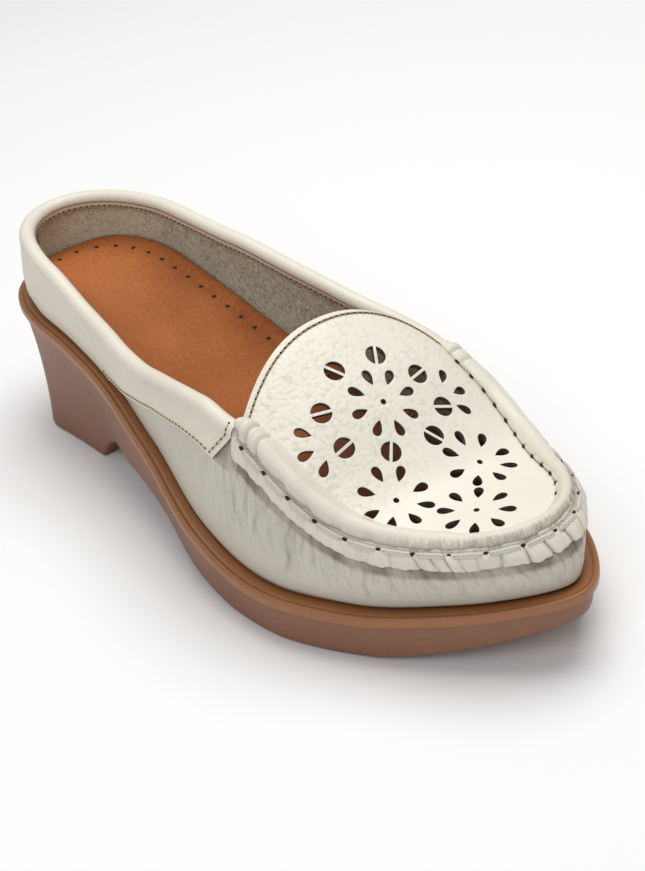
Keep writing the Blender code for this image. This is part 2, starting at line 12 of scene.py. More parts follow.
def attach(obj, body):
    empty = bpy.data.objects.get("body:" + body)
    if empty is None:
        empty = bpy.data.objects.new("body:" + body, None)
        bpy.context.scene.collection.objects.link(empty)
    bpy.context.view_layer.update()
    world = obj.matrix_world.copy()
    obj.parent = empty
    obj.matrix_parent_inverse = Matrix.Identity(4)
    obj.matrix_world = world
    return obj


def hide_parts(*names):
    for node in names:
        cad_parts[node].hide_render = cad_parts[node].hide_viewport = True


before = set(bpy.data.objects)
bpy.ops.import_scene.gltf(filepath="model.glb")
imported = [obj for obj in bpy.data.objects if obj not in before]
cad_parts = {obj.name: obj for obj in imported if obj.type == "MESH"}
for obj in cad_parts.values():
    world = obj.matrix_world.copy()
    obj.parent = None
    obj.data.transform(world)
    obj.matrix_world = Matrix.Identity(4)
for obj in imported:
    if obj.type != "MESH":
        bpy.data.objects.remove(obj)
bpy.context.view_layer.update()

# Sizes of the solids
LENGTH = 0.245
BALL_WIDTH = 0.100
HEEL_HEIGHT = 0.0495
BALL_THICKNESS = 0.0160
TOE_THICKNESS = 0.0102
TOE_SPRING = 0.0155
ARCH_HEIGHT = 0.0140
HEEL_SETBACK = 0.0130
HEEL_BASE_LENGTH = 0.0400
HEEL_BASE_WIDTH = 0.0510
RIM_LEDGE = 0.0050
LEDGE_DROP = 0.0003
RIM_STEP = 0.0011
WALL_TAPER = 0.0008
WALL_WAIST = 0.0012
INSOLE_THICKNESS = 0.0038
UPPER_WALL = 0.0017
SIDE_HEIGHT = 0.0450
TOP_BACK = 0.0062
TOP_FRONT = 0.0130
VAMP_BULGE = 0.0040
INSTEP_RISE = 0.0210
CROWN_LEAN = 0.22
INNER_LEAD = 0.0060
THROAT_REACH = 0.0130
COLLAR_BAND = 0.0012
COLLAR_WIDTH = 0.0205
RIDGE_RADIUS = 0.0040
FLANGE_THICKNESS = 0.0018
GAP = 0.0003
BEAN_RADIUS = 0.0032
BEAN_BAR = 0.0009
PETAL_LENGTH = 0.0053
PETAL_WIDTH = 0.0029
PETAL_FULLNESS = 0.77
FLOWER_RADIUS = 0.0086
EYE_RADIUS = 0.0009

# Sizes of the shown forms
INSOLE_CUP = 0.0046       # rise of the footbed's border over its middle
INSOLE_PAD = 0.0019       # softness of the footbed over the solid
COLLAR_LIP = 0.0032       # how far the collar comes down inside
BAND_END = 0.653          # the band's front end along LENGTH, at its top
BAND_SLANT = 11.0         # stations by which the band's lower edge stops short
ROLL_SHIFT = 0.0030       # how far the roll is moved in over the apron
FLANGE_WIDTH = 0.0057
FLANGE_OVERHANG = 0.0031  # wall below the flange's edge that is hidden from above
CUT_PITCH = 0.0054        # cuts across the flange round the toe
WRAP_PLACES = (0.0044, 0.0088)  # two tight wraps round the roll, from each end
CREASE_DEPTH = 0.00040

# Stitches and fine forms
HAND_PITCH = 0.0098       # hand stitches along the ridge's outer foot
INNER_PITCH = 0.0064      # and along its inner foot on the inner side
HAND_THREAD = 0.00052     # radius of their thread
SEAM_PITCH = 0.0021       # fine machine stitches
SEAM_THREAD = 0.00040     # radius of their thread
THROAT_SEAM = 0.0024      # their distance from the throat's edge
BAND_SEAM = 0.0019        # and from the collar band's lower edge
PIN_PITCH = 0.0074        # pinholes of the footbed
PIN_CLOSER = 0.78         # share of their pitch at the last of them
PIN_COUNT = 22            # on each side, before they are cut off at PIN_FRONT
PIN_INSET = 0.0058
TREAD_PITCH = 0.0062
TREAD_DEPTH = 0.0009
ROLL_STEP = 0.00042       # spacing of the points along the ridge
FLOW_REACH = 0.0014       # how far the ridge's soft inner side runs on over the apron
PUNCH_REACH = 0.003       # how far a punch stands out over and under the apron
BAND_TRIM = 4             # stations left free of stitches at the band's front ends

# Half length, half width and half depth of the holes
HAND_HOLE = (0.00095, 0.00068, 0.00042)
SEAM_HOLE = (0.00036, 0.00036, 0.00026)
PIN_HOLE = (0.00088, 0.00088, 0.00018)

# Places along LENGTH, heel 0 to toe 1
BREAST = (HEEL_SETBACK + HEEL_BASE_LENGTH) / LENGTH
THROAT = 0.655
APRON_END = 0.985
COLLAR_END = 0.645
FOOTPRINT_START = 0.62
FOOTPRINT_END = 0.76
PIN_FRONT = 0.60
BAND_SEAM_BACK = 0.30
BASE_FADE = 0.12          # stretch in front of the breast where the heel's square base ends
WAIST_FADE = 0.10         # and where the hollow of the wall ends

AROUND = 480              # stations from heel to toe


def table(names, rows):
    """A table with named columns."""
    return np.array(rows, dtype=[(name, float) for name in names.split()])


# Plan of the rim: half width and shift to the big toe as shares of BALL_WIDTH
OUTLINE = table("along half shift", [
    (0.00, 0.330, 0.000), (0.12, 0.307, 0.012), (0.25, 0.318, 0.008), (0.40, 0.366, -0.010),
    (0.55, 0.459, -0.014), (0.68, 0.500, 0.012), (0.80, 0.480, 0.044), (0.92, 0.408, 0.060),
    (1.00, 0.330, 0.064)])
# Share of LENGTH that rounds off, fullness of the curve, and fullness of its tip
HEEL_ROUND = (0.165, 2.0, 2.0)
TOE_ROUND = (0.305, 1.52, 2.0)
BASE_ROUND = (0.090, 2.7, 2.7)
# Rim height: share of the heel's rise over the ball, and share of the toe's lift
RIM_RISE = table("along rise lift", [
    (0.00, 1.000, 0.00), (0.15, 0.962, 0.00), (0.30, 0.735, 0.00), (0.42, 0.420, 0.00),
    (0.54, 0.150, 0.00), (0.67, 0.000, 0.00), (0.78, 0.000, 0.02), (0.89, 0.000, 0.36),
    (1.00, 0.000, 1.00)])
# Underside: share of ARCH_HEIGHT from the breast to the tread, and share of TOE_SPRING
ARCH = table("along rise", [
    (0.00, 0.00), (0.03, 0.32), (0.08, 0.68), (0.16, 0.94), (0.30, 1.00), (0.54, 0.72),
    (0.78, 0.22), (1.00, 0.00)])
SPRING = table("along lift", [(0.00, 0.00), (0.24, 0.06), (0.50, 0.28), (1.00, 1.00)])
# Plan of the upper's top edge, shares of BALL_WIDTH
TOP_PLAN = table("along half shift", [
    (0.00, 0.250, 0.012), (0.12, 0.257, 0.012), (0.25, 0.277, 0.012), (0.36, 0.310, 0.005),
    (0.46, 0.342, 0.000), (0.55, 0.378, 0.006), (0.64, 0.407, 0.023), (0.72, 0.407, 0.036),
    (0.80, 0.387, 0.042), (0.90, 0.350, 0.050), (1.00, 0.330, 0.056)])
TOP_HEEL_ROUND = (0.150, 2.0, 2.0)
TOP_TOE_ROUND = (0.270, 2.1, 2.1)
# Heights of the top edge as shares of SIDE_HEIGHT, swell as a share of VAMP_BULGE
TOP_EDGE = table("along outer_up inner_up bulge", [
    (0.00, 0.50, 0.50, 0.10), (0.08, 0.51, 0.51, 0.10), (0.15, 0.46, 0.53, 0.10),
    (0.25, 0.38, 0.60, 0.15), (0.33, 0.42, 0.69, 0.25), (0.40, 0.53, 0.77, 0.40),
    (0.47, 0.71, 0.83, 0.50), (0.55, 0.90, 0.85, 0.65), (0.60, 0.97, 0.83, 0.75),
    (0.655, 0.97, 0.76, 0.90), (0.70, 0.86, 0.65, 1.00), (0.74, 0.74, 0.56, 1.00),
    (0.78, 0.62, 0.50, 1.00), (0.82, 0.54, 0.47, 1.00), (0.88, 0.49, 0.46, 0.90),
    (0.94, 0.465, 0.465, 0.80), (1.00, 0.45, 0.45, 0.75)])
# Section of the wall: share of its own swell, and share of the way to the top edge's plan
WALL = table("along swell lean", [
    (0.00, 0.00, 0.00), (0.12, 0.17, 0.03), (0.34, 0.49, 0.18), (0.56, 0.70, 0.40),
    (0.78, 0.62, 0.67), (1.00, 0.00, 1.00)])
# Height of the collar band as a share of COLLAR_WIDTH
COLLAR = table("along width", [
    (0.00, 1.00), (0.15, 1.00), (0.25, 0.92), (0.33, 0.73), (0.40, 0.50), (0.46, 0.43),
    (0.53, 0.42), (0.60, 0.48), (0.645, 0.49)])
# Apron: crown as a share of INSTEP_RISE, bow as a share of THROAT_REACH
APRON = table("along crown bow", [
    (0.655, 1.00, 1.00), (0.69, 0.91, 0.62), (0.72, 0.79, 0.38), (0.75, 0.62, 0.20),
    (0.79, 0.38, 0.08), (0.85, 0.12, 0.00), (0.93, 0.06, 0.00), (1.00, 0.00, 0.00)])
APRON_POWER = 2.3
# Punched pattern: places are shares of LENGTH along and of BALL_WIDTH across
PATTERN_SHIFT = 0.026
PATTERN_TURN = -0.09
FLOWERS = table("along across whole", [
    (0.703, -0.008, 1), (0.792, -0.151, 1), (0.796, 0.153, 1), (0.864, -0.006, 1),
    (0.711, -0.216, 0), (0.716, 0.172, 0)])
BEANS = table("along across", [
    (0.654, -0.086), (0.656, 0.062), (0.684, -0.196), (0.688, 0.152), (0.723, -0.194),
    (0.726, 0.166), (0.747, -0.074), (0.750, 0.079)])

# Creases of the vamp. Places run along the wall's middle from the toe's tip, negative on
# the outer side, as shares of LENGTH. Levels run from the ledge, 0, to the ridge, 1
CREASES = table("top foot high low depth width", [
    (-0.470, -0.492, 0.78, 0.50, 0.45, 0.0020), (-0.447, -0.456, 0.80, 0.60, 0.50, 0.0009),
    (-0.436, -0.448, 0.82, 0.52, 0.60, 0.0010), (-0.425, -0.433, 0.83, 0.58, 0.55, 0.0008),
    (-0.416, -0.430, 0.83, 0.44, 0.85, 0.0011), (-0.407, -0.414, 0.83, 0.58, 0.55, 0.0008),
    (-0.398, -0.410, 0.83, 0.46, 0.80, 0.0010), (-0.390, -0.397, 0.83, 0.56, 0.55, 0.0008),
    (-0.381, -0.395, 0.83, 0.38, 0.95, 0.0012), (-0.372, -0.379, 0.82, 0.52, 0.60, 0.0008),
    (-0.363, -0.372, 0.82, 0.44, 0.75, 0.0010), (-0.345, -0.351, 0.82, 0.54, 0.55, 0.0008),
    (-0.331, -0.352, 0.82, 0.20, 1.00, 0.0012), (-0.324, -0.341, 0.82, 0.34, 0.80, 0.0010),
    (-0.316, -0.322, 0.80, 0.48, 0.60, 0.0008), (-0.300, -0.311, 0.80, 0.40, 0.65, 0.0011),
    (-0.288, -0.293, 0.79, 0.52, 0.50, 0.0008), (-0.270, -0.279, 0.78, 0.38, 0.55, 0.0011),
    (-0.252, -0.257, 0.77, 0.48, 0.45, 0.0009), (-0.236, -0.249, 0.77, 0.16, 0.80, 0.0011),
    (-0.228, -0.234, 0.76, 0.40, 0.55, 0.0009), (-0.210, -0.216, 0.76, 0.30, 0.50, 0.0012),
    (-0.190, -0.193, 0.75, 0.48, 0.55, 0.0008), (-0.183, -0.186, 0.75, 0.50, 0.60, 0.0008),
    (-0.168, -0.172, 0.74, 0.26, 0.55, 0.0012), (-0.150, -0.153, 0.74, 0.44, 0.50, 0.0009),
    (-0.133, -0.137, 0.73, 0.22, 0.55, 0.0012), (-0.112, -0.114, 0.73, 0.46, 0.50, 0.0009),
    (-0.096, -0.098, 0.72, 0.20, 0.60, 0.0012), (-0.078, -0.080, 0.72, 0.42, 0.50, 0.0009),
    (-0.060, -0.062, 0.72, 0.18, 0.60, 0.0012), (-0.044, -0.045, 0.72, 0.40, 0.55, 0.0009),
    (-0.030, -0.031, 0.72, 0.20, 0.65, 0.0011), (-0.014, -0.015, 0.72, 0.36, 0.60, 0.0009),
    (0.000, 0.000, 0.72, 0.16, 0.65, 0.0012), (0.015, 0.016, 0.72, 0.38, 0.60, 0.0009),
    (0.031, 0.032, 0.72, 0.20, 0.65, 0.0012), (0.048, 0.050, 0.72, 0.40, 0.55, 0.0009),
    (0.066, 0.069, 0.72, 0.24, 0.60, 0.0012), (0.086, 0.090, 0.73, 0.42, 0.55, 0.0010),
    (0.108, 0.114, 0.74, 0.28, 0.60, 0.0013), (0.132, 0.139, 0.75, 0.44, 0.55, 0.0010),
    (0.158, 0.168, 0.76, 0.30, 0.60, 0.0014), (0.186, 0.196, 0.77, 0.46, 0.55, 0.0011),
    (0.216, 0.230, 0.78, 0.30, 0.65, 0.0015), (0.250, 0.263, 0.80, 0.48, 0.55, 0.0011),
    (0.286, 0.303, 0.82, 0.34, 0.70, 0.0016), (0.326, 0.340, 0.84, 0.50, 0.55, 0.0012),
    (0.368, 0.388, 0.86, 0.42, 0.70, 0.0018), (0.425, 0.445, 0.86, 0.50, 0.50, 0.0026)])

# Camera: its place is that of the photograph, turned to the one shoe
CAMERA_PLACE = (0.36129, -0.27133, 0.32427)
CAMERA_UP = (-0.27913, 0.36281, 0.88907)
CAMERA_AIM = (0.0130, 0.0060, 0.0285)
CAMERA_LENS = 70.0


def smooth(rows, column, at):
    """Cubic curve through a table's column that never swings past its values."""
    knots, values = rows["along"], rows[column]
    span = np.diff(knots)
    slope = np.diff(values) / span
    inner = np.zeros(len(knots))
    same = slope[:-1] * slope[1:] > 0
    first, second = slope[:-1][same], slope[1:][same]
    w1, w2 = (2 * span[1:] + span[:-1])[same], (span[1:] + 2 * span[:-1])[same]
    inner[1:-1][same] = (w1 + w2) / (w1 / first + w2 / second)
    inner[0], inner[-1] = slope[0], slope[-1]
    at = np.clip(at, knots[0], knots[-1])
    i = np.clip(np.searchsorted(knots, at, side="right") - 1, 0, len(span) - 1)
    t = (at - knots[i]) / span[i]
    return (values[i] * (1 + 2 * t) * (1 - t) ** 2 + values[i + 1] * t * t * (3 - 2 * t)
            + span[i] * (inner[i] * t * (1 - t) ** 2 - inner[i + 1] * t * t * (1 - t)))


def step(low, high, at):
    """0 below low, 1 above high, a smooth rise between them."""
    t = np.clip((at - low) / (high - low), 0, 1)
    return t * t * (3 - 2 * t)


def between(rise, fall, at):
    """1 between two spans: a smooth rise over the first, a smooth fall over the second."""
    return step(*rise, at) * (1 - step(*fall, at))


def bell(distance, width):
    """Bell curve, exp(-(distance over width) squared)."""
    return np.exp(-(distance / width) ** 2)


def unit(vectors):
    """Vectors over their own lengths."""
    return vectors / np.maximum(np.linalg.norm(vectors, axis=-1, keepdims=True), 1e-12)


def run_along(path):
    """Distance run along a path up to each of its points."""
    return np.concatenate([[0], np.cumsum(np.linalg.norm(np.diff(path, axis=0), axis=1))])


def read_at(places, run, array):
    """An array's columns read at places, its rows lying at the distances in run."""
    return np.column_stack([np.interp(places, run, column) for column in array.T])


def round_off(distance, end):
    """Width share near an end: 0 at the tip, 1 where the rounding stops."""
    reach, power, tip = end
    u = np.clip(1 - distance / reach, 0, 1)
    return np.clip(1 - u ** power, 0, 1) ** (1 / tip)


def rim_height(along):
    """Height of the rim over the floor: the heel's rise and the toe's lift over the ball."""
    toe_rise = TOE_SPRING + TOE_THICKNESS - BALL_THICKNESS
    rise = smooth(RIM_RISE, "rise", along) * (HEEL_HEIGHT - BALL_THICKNESS)
    return BALL_THICKNESS + rise + smooth(RIM_RISE, "lift", along) * toe_rise


def underside(along):
    """Height of the tread over the floor: flat heel, arch, flat tread, toe spring."""
    arch = smooth(ARCH, "rise", (along - BREAST) / (FOOTPRINT_START - BREAST)) * ARCH_HEIGHT
    spring = smooth(SPRING, "lift", (along - FOOTPRINT_END) / (1 - FOOTPRINT_END)) * TOE_SPRING
    return arch + spring


def share(x):
    """Place along LENGTH of an X coordinate."""
    return np.clip(x / LENGTH + 0.5, 0, 1)


def there_and_back(sides):
    """Values from heel to toe, then the same back again without the two ends."""
    return np.concatenate([sides, sides[-2:0:-1]])


def outward(plan_points):
    """Outward normals in plan of a closed outline that runs clockwise seen from below."""
    way = np.roll(plan_points, -1, axis=0) - np.roll(plan_points, 1, axis=0)
    return unit(np.column_stack([way[:, 1], -way[:, 0]]))


# Stations round the shoe: out along the outer side, back along the inner side
STATIONS = (1 - np.cos(np.linspace(0, np.pi, AROUND + 1))) / 2
THROAT_AT = int(np.argmin(np.abs(STATIONS - THROAT)))
STATIONS[THROAT_AT] = THROAT
ALONG = there_and_back(STATIONS)
SIDE = np.where(np.arange(2 * AROUND) <= AROUND, -1.0, 1.0)
HALF = smooth(OUTLINE, "half", STATIONS) * BALL_WIDTH * round_off(STATIONS, HEEL_ROUND) * round_off(
    1 - STATIONS, TOE_ROUND)
SHIFT = smooth(OUTLINE, "shift", STATIONS) * BALL_WIDTH
CENTRE = ((SHIFT + HALF).max() + (SHIFT - HALF).min()) / 2
SHIFT = SHIFT - CENTRE
SHIFT_ROUND = there_and_back(SHIFT)
RIM = np.column_stack([(ALONG - 0.5) * LENGTH, SHIFT_ROUND + SIDE * there_and_back(HALF)])
OUTWARD = outward(RIM)


def ring(inset, drop):
    """The rim's outline moved in by inset and down by drop."""
    xy = RIM - OUTWARD * inset
    return np.column_stack([xy, rim_height(share(xy[:, 0])) - drop])


def tread_ring(inset, lift):
    """Bottom outline: the rim's moved in, but at the heel a square base pulled forward."""
    fade = np.clip(1 - ALONG / BREAST, 0, 1) ** 1.3
    narrow = step(0, 1, (BREAST + BASE_FADE - ALONG) / BASE_FADE)[:, None]
    half_base = HEEL_BASE_WIDTH / 2 * round_off(ALONG, BASE_ROUND)
    base = np.column_stack([RIM[:, 0] + HEEL_SETBACK * fade, SHIFT_ROUND + SIDE * half_base])
    edge = base * narrow + (RIM - OUTWARD * (RIM_STEP + WALL_TAPER)) * (1 - narrow)
    edge = edge - outward(edge) * inset
    return np.column_stack([edge, underside(share(edge[:, 0])) + lift])


def top_edge():
    """Top edge of the side walls: plan, outward direction and height over the rim."""
    half = smooth(TOP_PLAN, "half", ALONG) * BALL_WIDTH
    half = half * round_off(ALONG, TOP_HEEL_ROUND) * round_off(1 - ALONG, TOP_TOE_ROUND)
    shift = smooth(TOP_PLAN, "shift", ALONG) * BALL_WIDTH - CENTRE
    x = TOP_BACK - LENGTH / 2 + ALONG * (LENGTH - TOP_BACK - TOP_FRONT)
    x = x + np.where(SIDE > 0, INNER_LEAD * np.sin(np.pi * ALONG) ** 2, 0.0)
    xy = np.column_stack([x, shift + SIDE * half])
    up = np.where(SIDE < 0, smooth(TOP_EDGE, "outer_up", ALONG), smooth(TOP_EDGE, "inner_up", ALONG))
    return xy, outward(xy), up * SIDE_HEIGHT


TOP_XY, TOP_OUT, TOP_UP = top_edge()
TOP_AWAY = np.column_stack([TOP_OUT, np.zeros(len(TOP_OUT))])


def level_below(distance, most):
    """Level of the wall at a distance below its top edge, at most a share of the wall down."""
    return 1 - np.clip(distance / TOP_UP, 0, most)


def wall(level):
    """Outer surface of the side wall, level 0 on the ledge to 1 at the top edge."""
    level = np.broadcast_to(level, TOP_UP.shape)
    low = ring(RIM_LEDGE, -GAP)
    high = np.column_stack([TOP_XY, rim_height(share(TOP_XY[:, 0])) + TOP_UP])
    swell = smooth(TOP_EDGE, "bulge", ALONG) * VAMP_BULGE * smooth(WALL, "swell", level)
    lean = smooth(WALL, "lean", level)
    xy = low[:, :2] * (1 - lean)[:, None] + high[:, :2] * lean[:, None] + OUTWARD * swell[:, None]
    return np.column_stack([xy, low[:, 2] * (1 - level) + high[:, 2] * level])


def grid_normals(grid, wrap=False):
    """Unit normals of a grid: the cross product of its steps along columns and rows."""
    if wrap:
        across = np.roll(grid, -1, axis=1) - np.roll(grid, 1, axis=1)
    else:
        across = np.gradient(grid, axis=1)
    return unit(np.cross(across, np.gradient(grid, axis=0)))


# Meshes

def add_object(name, data):
    """A new object in the scene."""
    made = bpy.data.objects.new(name, data)
    bpy.context.scene.collection.objects.link(made)
    return made


def show(name, mesh, material, node):
    """A smooth-shaded piece of one material that rides on the part."""
    mesh.shade_smooth()
    mesh.materials.append(material)
    piece = add_object(name, mesh)
    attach(piece, "root")
    if node:
        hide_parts(node)
    return piece


def new_piece(name, points, faces, material, node, slot, **values):
    """A welded piece, faces outward, whose points may carry named values."""
    mesh = bpy.data.meshes.new(name)
    mesh.from_pydata(points.tolist(), [], faces.tolist())
    for label, value in values.items():
        mesh.attributes.new(label, "FLOAT", "POINT").data.foreach_set("value", np.ravel(value))
    work = bmesh.new()
    work.from_mesh(mesh)
    bmesh.ops.remove_doubles(work, verts=work.verts, dist=1e-6)
    bmesh.ops.dissolve_degenerate(work, edges=work.edges, dist=1e-7)
    bmesh.ops.recalc_face_normals(work, faces=work.faces)
    work.to_mesh(mesh)
    work.free()
    return show(name, mesh, material, node)


def quads(rows, columns, first=0, wrap=False):
    """Corner numbers of a grid's quads, joined round where wrap is set."""
    corner = first + np.arange(rows * columns).reshape(rows, columns)
    if wrap:
        corner = np.concatenate([corner, corner[:, :1]], axis=1)
    cells = [corner[:-1, :-1], corner[:-1, 1:], corner[1:, 1:], corner[1:, :-1]]
    return np.stack(cells, axis=-1).reshape(-1, 4)


def sheets(grids, wraps=None, flips=None):
    """Points and quads of several grids."""
    wraps, flips = wraps or [False] * len(grids), flips or [False] * len(grids)
    points, faces, first = [], [], 0
    for grid, wrap, flip in zip(grids, wraps, flips):
        cells = quads(*grid.shape[:2], first, wrap)
        faces.append(cells[:, ::-1] if flip else cells)
        points.append(grid.reshape(-1, 3))
        first += grid.shape[0] * grid.shape[1]
    return np.concatenate(points), np.concatenate(faces)


def both_sides(loop):
    """Outer and inner side of a closed ring, each from heel to toe."""
    return loop[:AROUND + 1], loop[np.r_[0, 2 * AROUND - 1:AROUND - 1:-1]]


def rows_across(edge, columns, height):
    """Grid of rows from the outer to the inner side of a closed ring of points."""
    outer, inner = both_sides(edge)
    v = np.linspace(0, 1, columns + 1)[None, :, None]
    grid = outer[:, None] * (1 - v) + inner[:, None] * v
    grid[:, 1:-1, 2] = height(grid[:, 1:-1, 0], grid[:, 1:-1, 1])
    return grid


def even_spots(path, pitch, start, *others):
    """Spots pitch apart along a path, start from its ends, with other arrays read at the same spots."""
    run = run_along(path)
    count = int((run[-1] - 2 * start) / pitch)
    at = start + (run[-1] - 2 * start - count * pitch) / 2 + np.arange(count + 1) * pitch
    return [read_at(at, run, array) for array in (path,) + others]


def add_grains(name, centres, along, normal, size, material, sides, rings):
    """Ellipsoids at given centres: half length along, half width across, half height up."""
    aside = unit(np.cross(normal, along))
    up = unit(np.cross(along, aside))
    turn = np.linspace(0, 2 * np.pi, sides, endpoint=False)[None, :]
    bend = np.linspace(0, np.pi, rings + 2)[1:-1][:, None]
    ball = [np.cos(bend) + 0 * turn, np.sin(bend) * np.cos(turn), np.sin(bend) * np.sin(turn)]
    ball = np.concatenate([[[1.0, 0, 0]], np.stack(ball, axis=-1).reshape(-1, 3), [[-1.0, 0, 0]]])
    size = np.broadcast_to(np.atleast_2d(size), (len(centres), 3))
    axes = np.stack([unit(along) * size[:, :1], aside * size[:, 1:2], up * size[:, 2:3]], axis=1)
    points = centres[:, None] + np.einsum("ps,nsk->npk", ball, axes)
    band = quads(rings, sides, 1, True)[:, [0, 3, 2, 1]]
    around = np.arange(sides)
    after = (around + 1) % sides
    base, last = 1 + (rings - 1) * sides, 1 + rings * sides
    front_cap = np.column_stack([0 * around, 1 + around, 1 + after])
    back_cap = np.column_stack([0 * around + last, base + after, base + around])
    starts = np.arange(len(centres))[:, None, None] * len(ball)
    faces = [(block + starts).reshape(-1, block.shape[1]).tolist() for block in (band, front_cap, back_cap)]
    mesh = bpy.data.meshes.new(name)
    mesh.from_pydata(points.reshape(-1, 3).tolist(), [], sum(faces, []))
    return show(name, mesh, material, None)


# Materials

def feed(tree, sockets, values):
    """Give each socket its value, or link it where the value is a node's output."""
    for socket, value in zip(sockets, values):
        if isinstance(value, bpy.types.NodeSocket):
            tree.links.new(value, socket)
        else:
            socket.default_value = value


def fill(tree, made, **values):
    """Give a node its settings and inputs by name."""
    for key, value in values.items():
        label = key.replace("_", " ")
        if label in made.inputs:
            feed(tree, [made.inputs[label]], [value])
        else:
            setattr(made, key, value)


def node(tree, kind, **values):
    """A new node with its settings and inputs by name."""
    made = tree.nodes.new(kind)
    fill(tree, made, **values)
    return made


def new_group(name, inputs, outputs):
    """A node group with number inputs, each with its usual value, and number outputs."""
    group = bpy.data.node_groups.new(name, "ShaderNodeTree")
    for label, value in inputs.items():
        socket = group.interface.new_socket(name=label, in_out="INPUT", socket_type="NodeSocketFloat")
        socket.default_value = value
    for label in outputs:
        group.interface.new_socket(name=label, in_out="OUTPUT", socket_type="NodeSocketFloat")
    return group, group.nodes.new("NodeGroupInput").outputs, group.nodes.new("NodeGroupOutput").inputs


def math_node(tree, operation, *values, clamp=False):
    """Result of an operation on up to three numbers or outputs."""
    made = node(tree, "ShaderNodeMath", operation=operation, use_clamp=clamp)
    feed(tree, made.inputs, values)
    return made.outputs[0]


def mix_colour(tree, factor, first, second):
    """Colour between two, each given as red, green and blue or as an output."""
    made = node(tree, "ShaderNodeMix", data_type="RGBA")
    colours = [value + (1.0,) if isinstance(value, tuple) else value for value in (first, second)]
    feed(tree, (made.inputs[0], made.inputs[6], made.inputs[7]), [factor] + colours)
    return made.outputs[2]


def spread(tree, value, low, high, first=0.0, last=1.0):
    """A number carried from the span low to high to the span first to last, held within it."""
    return node(tree, "ShaderNodeMapRange", Value=value, From_Min=low, From_Max=high,
                To_Min=first, To_Max=last).outputs[0]


def read(tree, label):
    """A named value of the points."""
    return node(tree, "ShaderNodeAttribute", attribute_name=label).outputs["Fac"]


def object_place(tree):
    """Place in the piece's own axes."""
    return tree.nodes.new("ShaderNodeTexCoord").outputs["Object"]


def pebble_group():
    """Leather grain: round pebbles of uneven size between soft creases, with fine pores.

    Height is strength times one less the smoothed distance to the nearest cell's
    middle, squared, plus pores. The crease value is high far from every middle.
    """
    group, given, made = new_group(
        "pebble grain", {"Cells": 700.0, "Strength": 1.0, "Pores": 0.3}, ("Height", "Crease"))
    place = object_place(group)
    warp = node(group, "ShaderNodeTexNoise", Vector=place, Scale=380.0, Detail=2.0)
    shift = node(group, "ShaderNodeVectorMath", operation="MULTIPLY_ADD")
    feed(group, shift.inputs, (warp.outputs["Color"], (0.0016,) * 3, place))
    cells = node(group, "ShaderNodeTexVoronoi", feature="SMOOTH_F1", Smoothness=0.35,
                 Vector=shift.outputs[0], Scale=given["Cells"])
    far = math_node(group, "MULTIPLY", cells.outputs["Distance"], cells.outputs["Distance"])
    pores = node(group, "ShaderNodeTexNoise", Vector=place, Scale=2600.0, Detail=3.0, Roughness=0.6)
    pebble = math_node(group, "MULTIPLY", math_node(group, "SUBTRACT", 1.0, far), given["Strength"])
    fine = math_node(group, "MULTIPLY", pores.outputs[0], given["Pores"])
    # The crease value, high between the pebbles, darkens the creases as painted shade
    dark = math_node(group, "MULTIPLY", spread(group, far, 0.28, 0.62), given["Strength"], clamp=True)
    feed(group, made, (math_node(group, "ADD", pebble, fine), dark))
    return group


def cloud_group():
    """Uneven tone: two soft noises, one broad and one small, mixed to a factor round 0.5."""
    group, given, made = new_group(
        "uneven tone", {"Broad": 25.0, "Small": 300.0, "Share": 0.35}, ("Factor",))
    place = object_place(group)
    noises = [node(group, "ShaderNodeTexNoise", Vector=place, Scale=given[label], Detail=detail)
              for label, detail in (("Broad", 3.0), ("Small", 4.0))]
    blend = group.nodes.new("ShaderNodeMix")
    feed(group, (blend.inputs[0], blend.inputs[2], blend.inputs[3]),
         (given["Share"], noises[0].outputs[0], noises[1].outputs[0]))
    feed(group, made, (spread(group, blend.outputs[0], 0.3, 0.7),))
    return group


def streak_group():
    """Fine wrinkles that run down a wall: noise far finer along the run than down the levels."""
    group, given, made = new_group("fine wrinkles", {"Fineness": 700.0, "Length": 60.0}, ("Height", "Line"))
    along = math_node(group, "MULTIPLY", read(group, "run"), given["Fineness"])
    down = math_node(group, "MULTIPLY", read(group, "down"), given["Length"])
    place = node(group, "ShaderNodeCombineXYZ", X=along, Y=down).outputs[0]
    noise = node(group, "ShaderNodeTexNoise", Vector=place, Scale=1.0, Detail=3.0, Roughness=0.6,
                 Distortion=0.25).outputs[0]
    # Line, high along each wrinkle's trough, darkens it as painted shade
    ridge = math_node(group, "ABSOLUTE", math_node(group, "SUBTRACT", noise, 0.5))
    feed(group, made, (noise, spread(group, ridge, 0.0, 0.018, 1.0, 0.0)))
    return group


PEBBLE, CLOUD, STREAK = pebble_group(), cloud_group(), streak_group()


def use(tree, group, **values):
    """Outputs of a group with its numbers by name."""
    return node(tree, "ShaderNodeGroup", node_tree=group, **values).outputs


def new_material(name, **values):
    """A material, its node tree and its shader, with the shader's numbers by name."""
    material = bpy.data.materials.new(name)
    material.use_nodes = True
    tree = material.node_tree
    shader = tree.nodes["Principled BSDF"]
    fill(tree, shader, **values)
    return material, tree, shader


def bump(tree, height, strength, distance):
    """Normals that follow a height."""
    return node(tree, "ShaderNodeBump", Height=height, Strength=strength, Distance=distance).outputs[0]


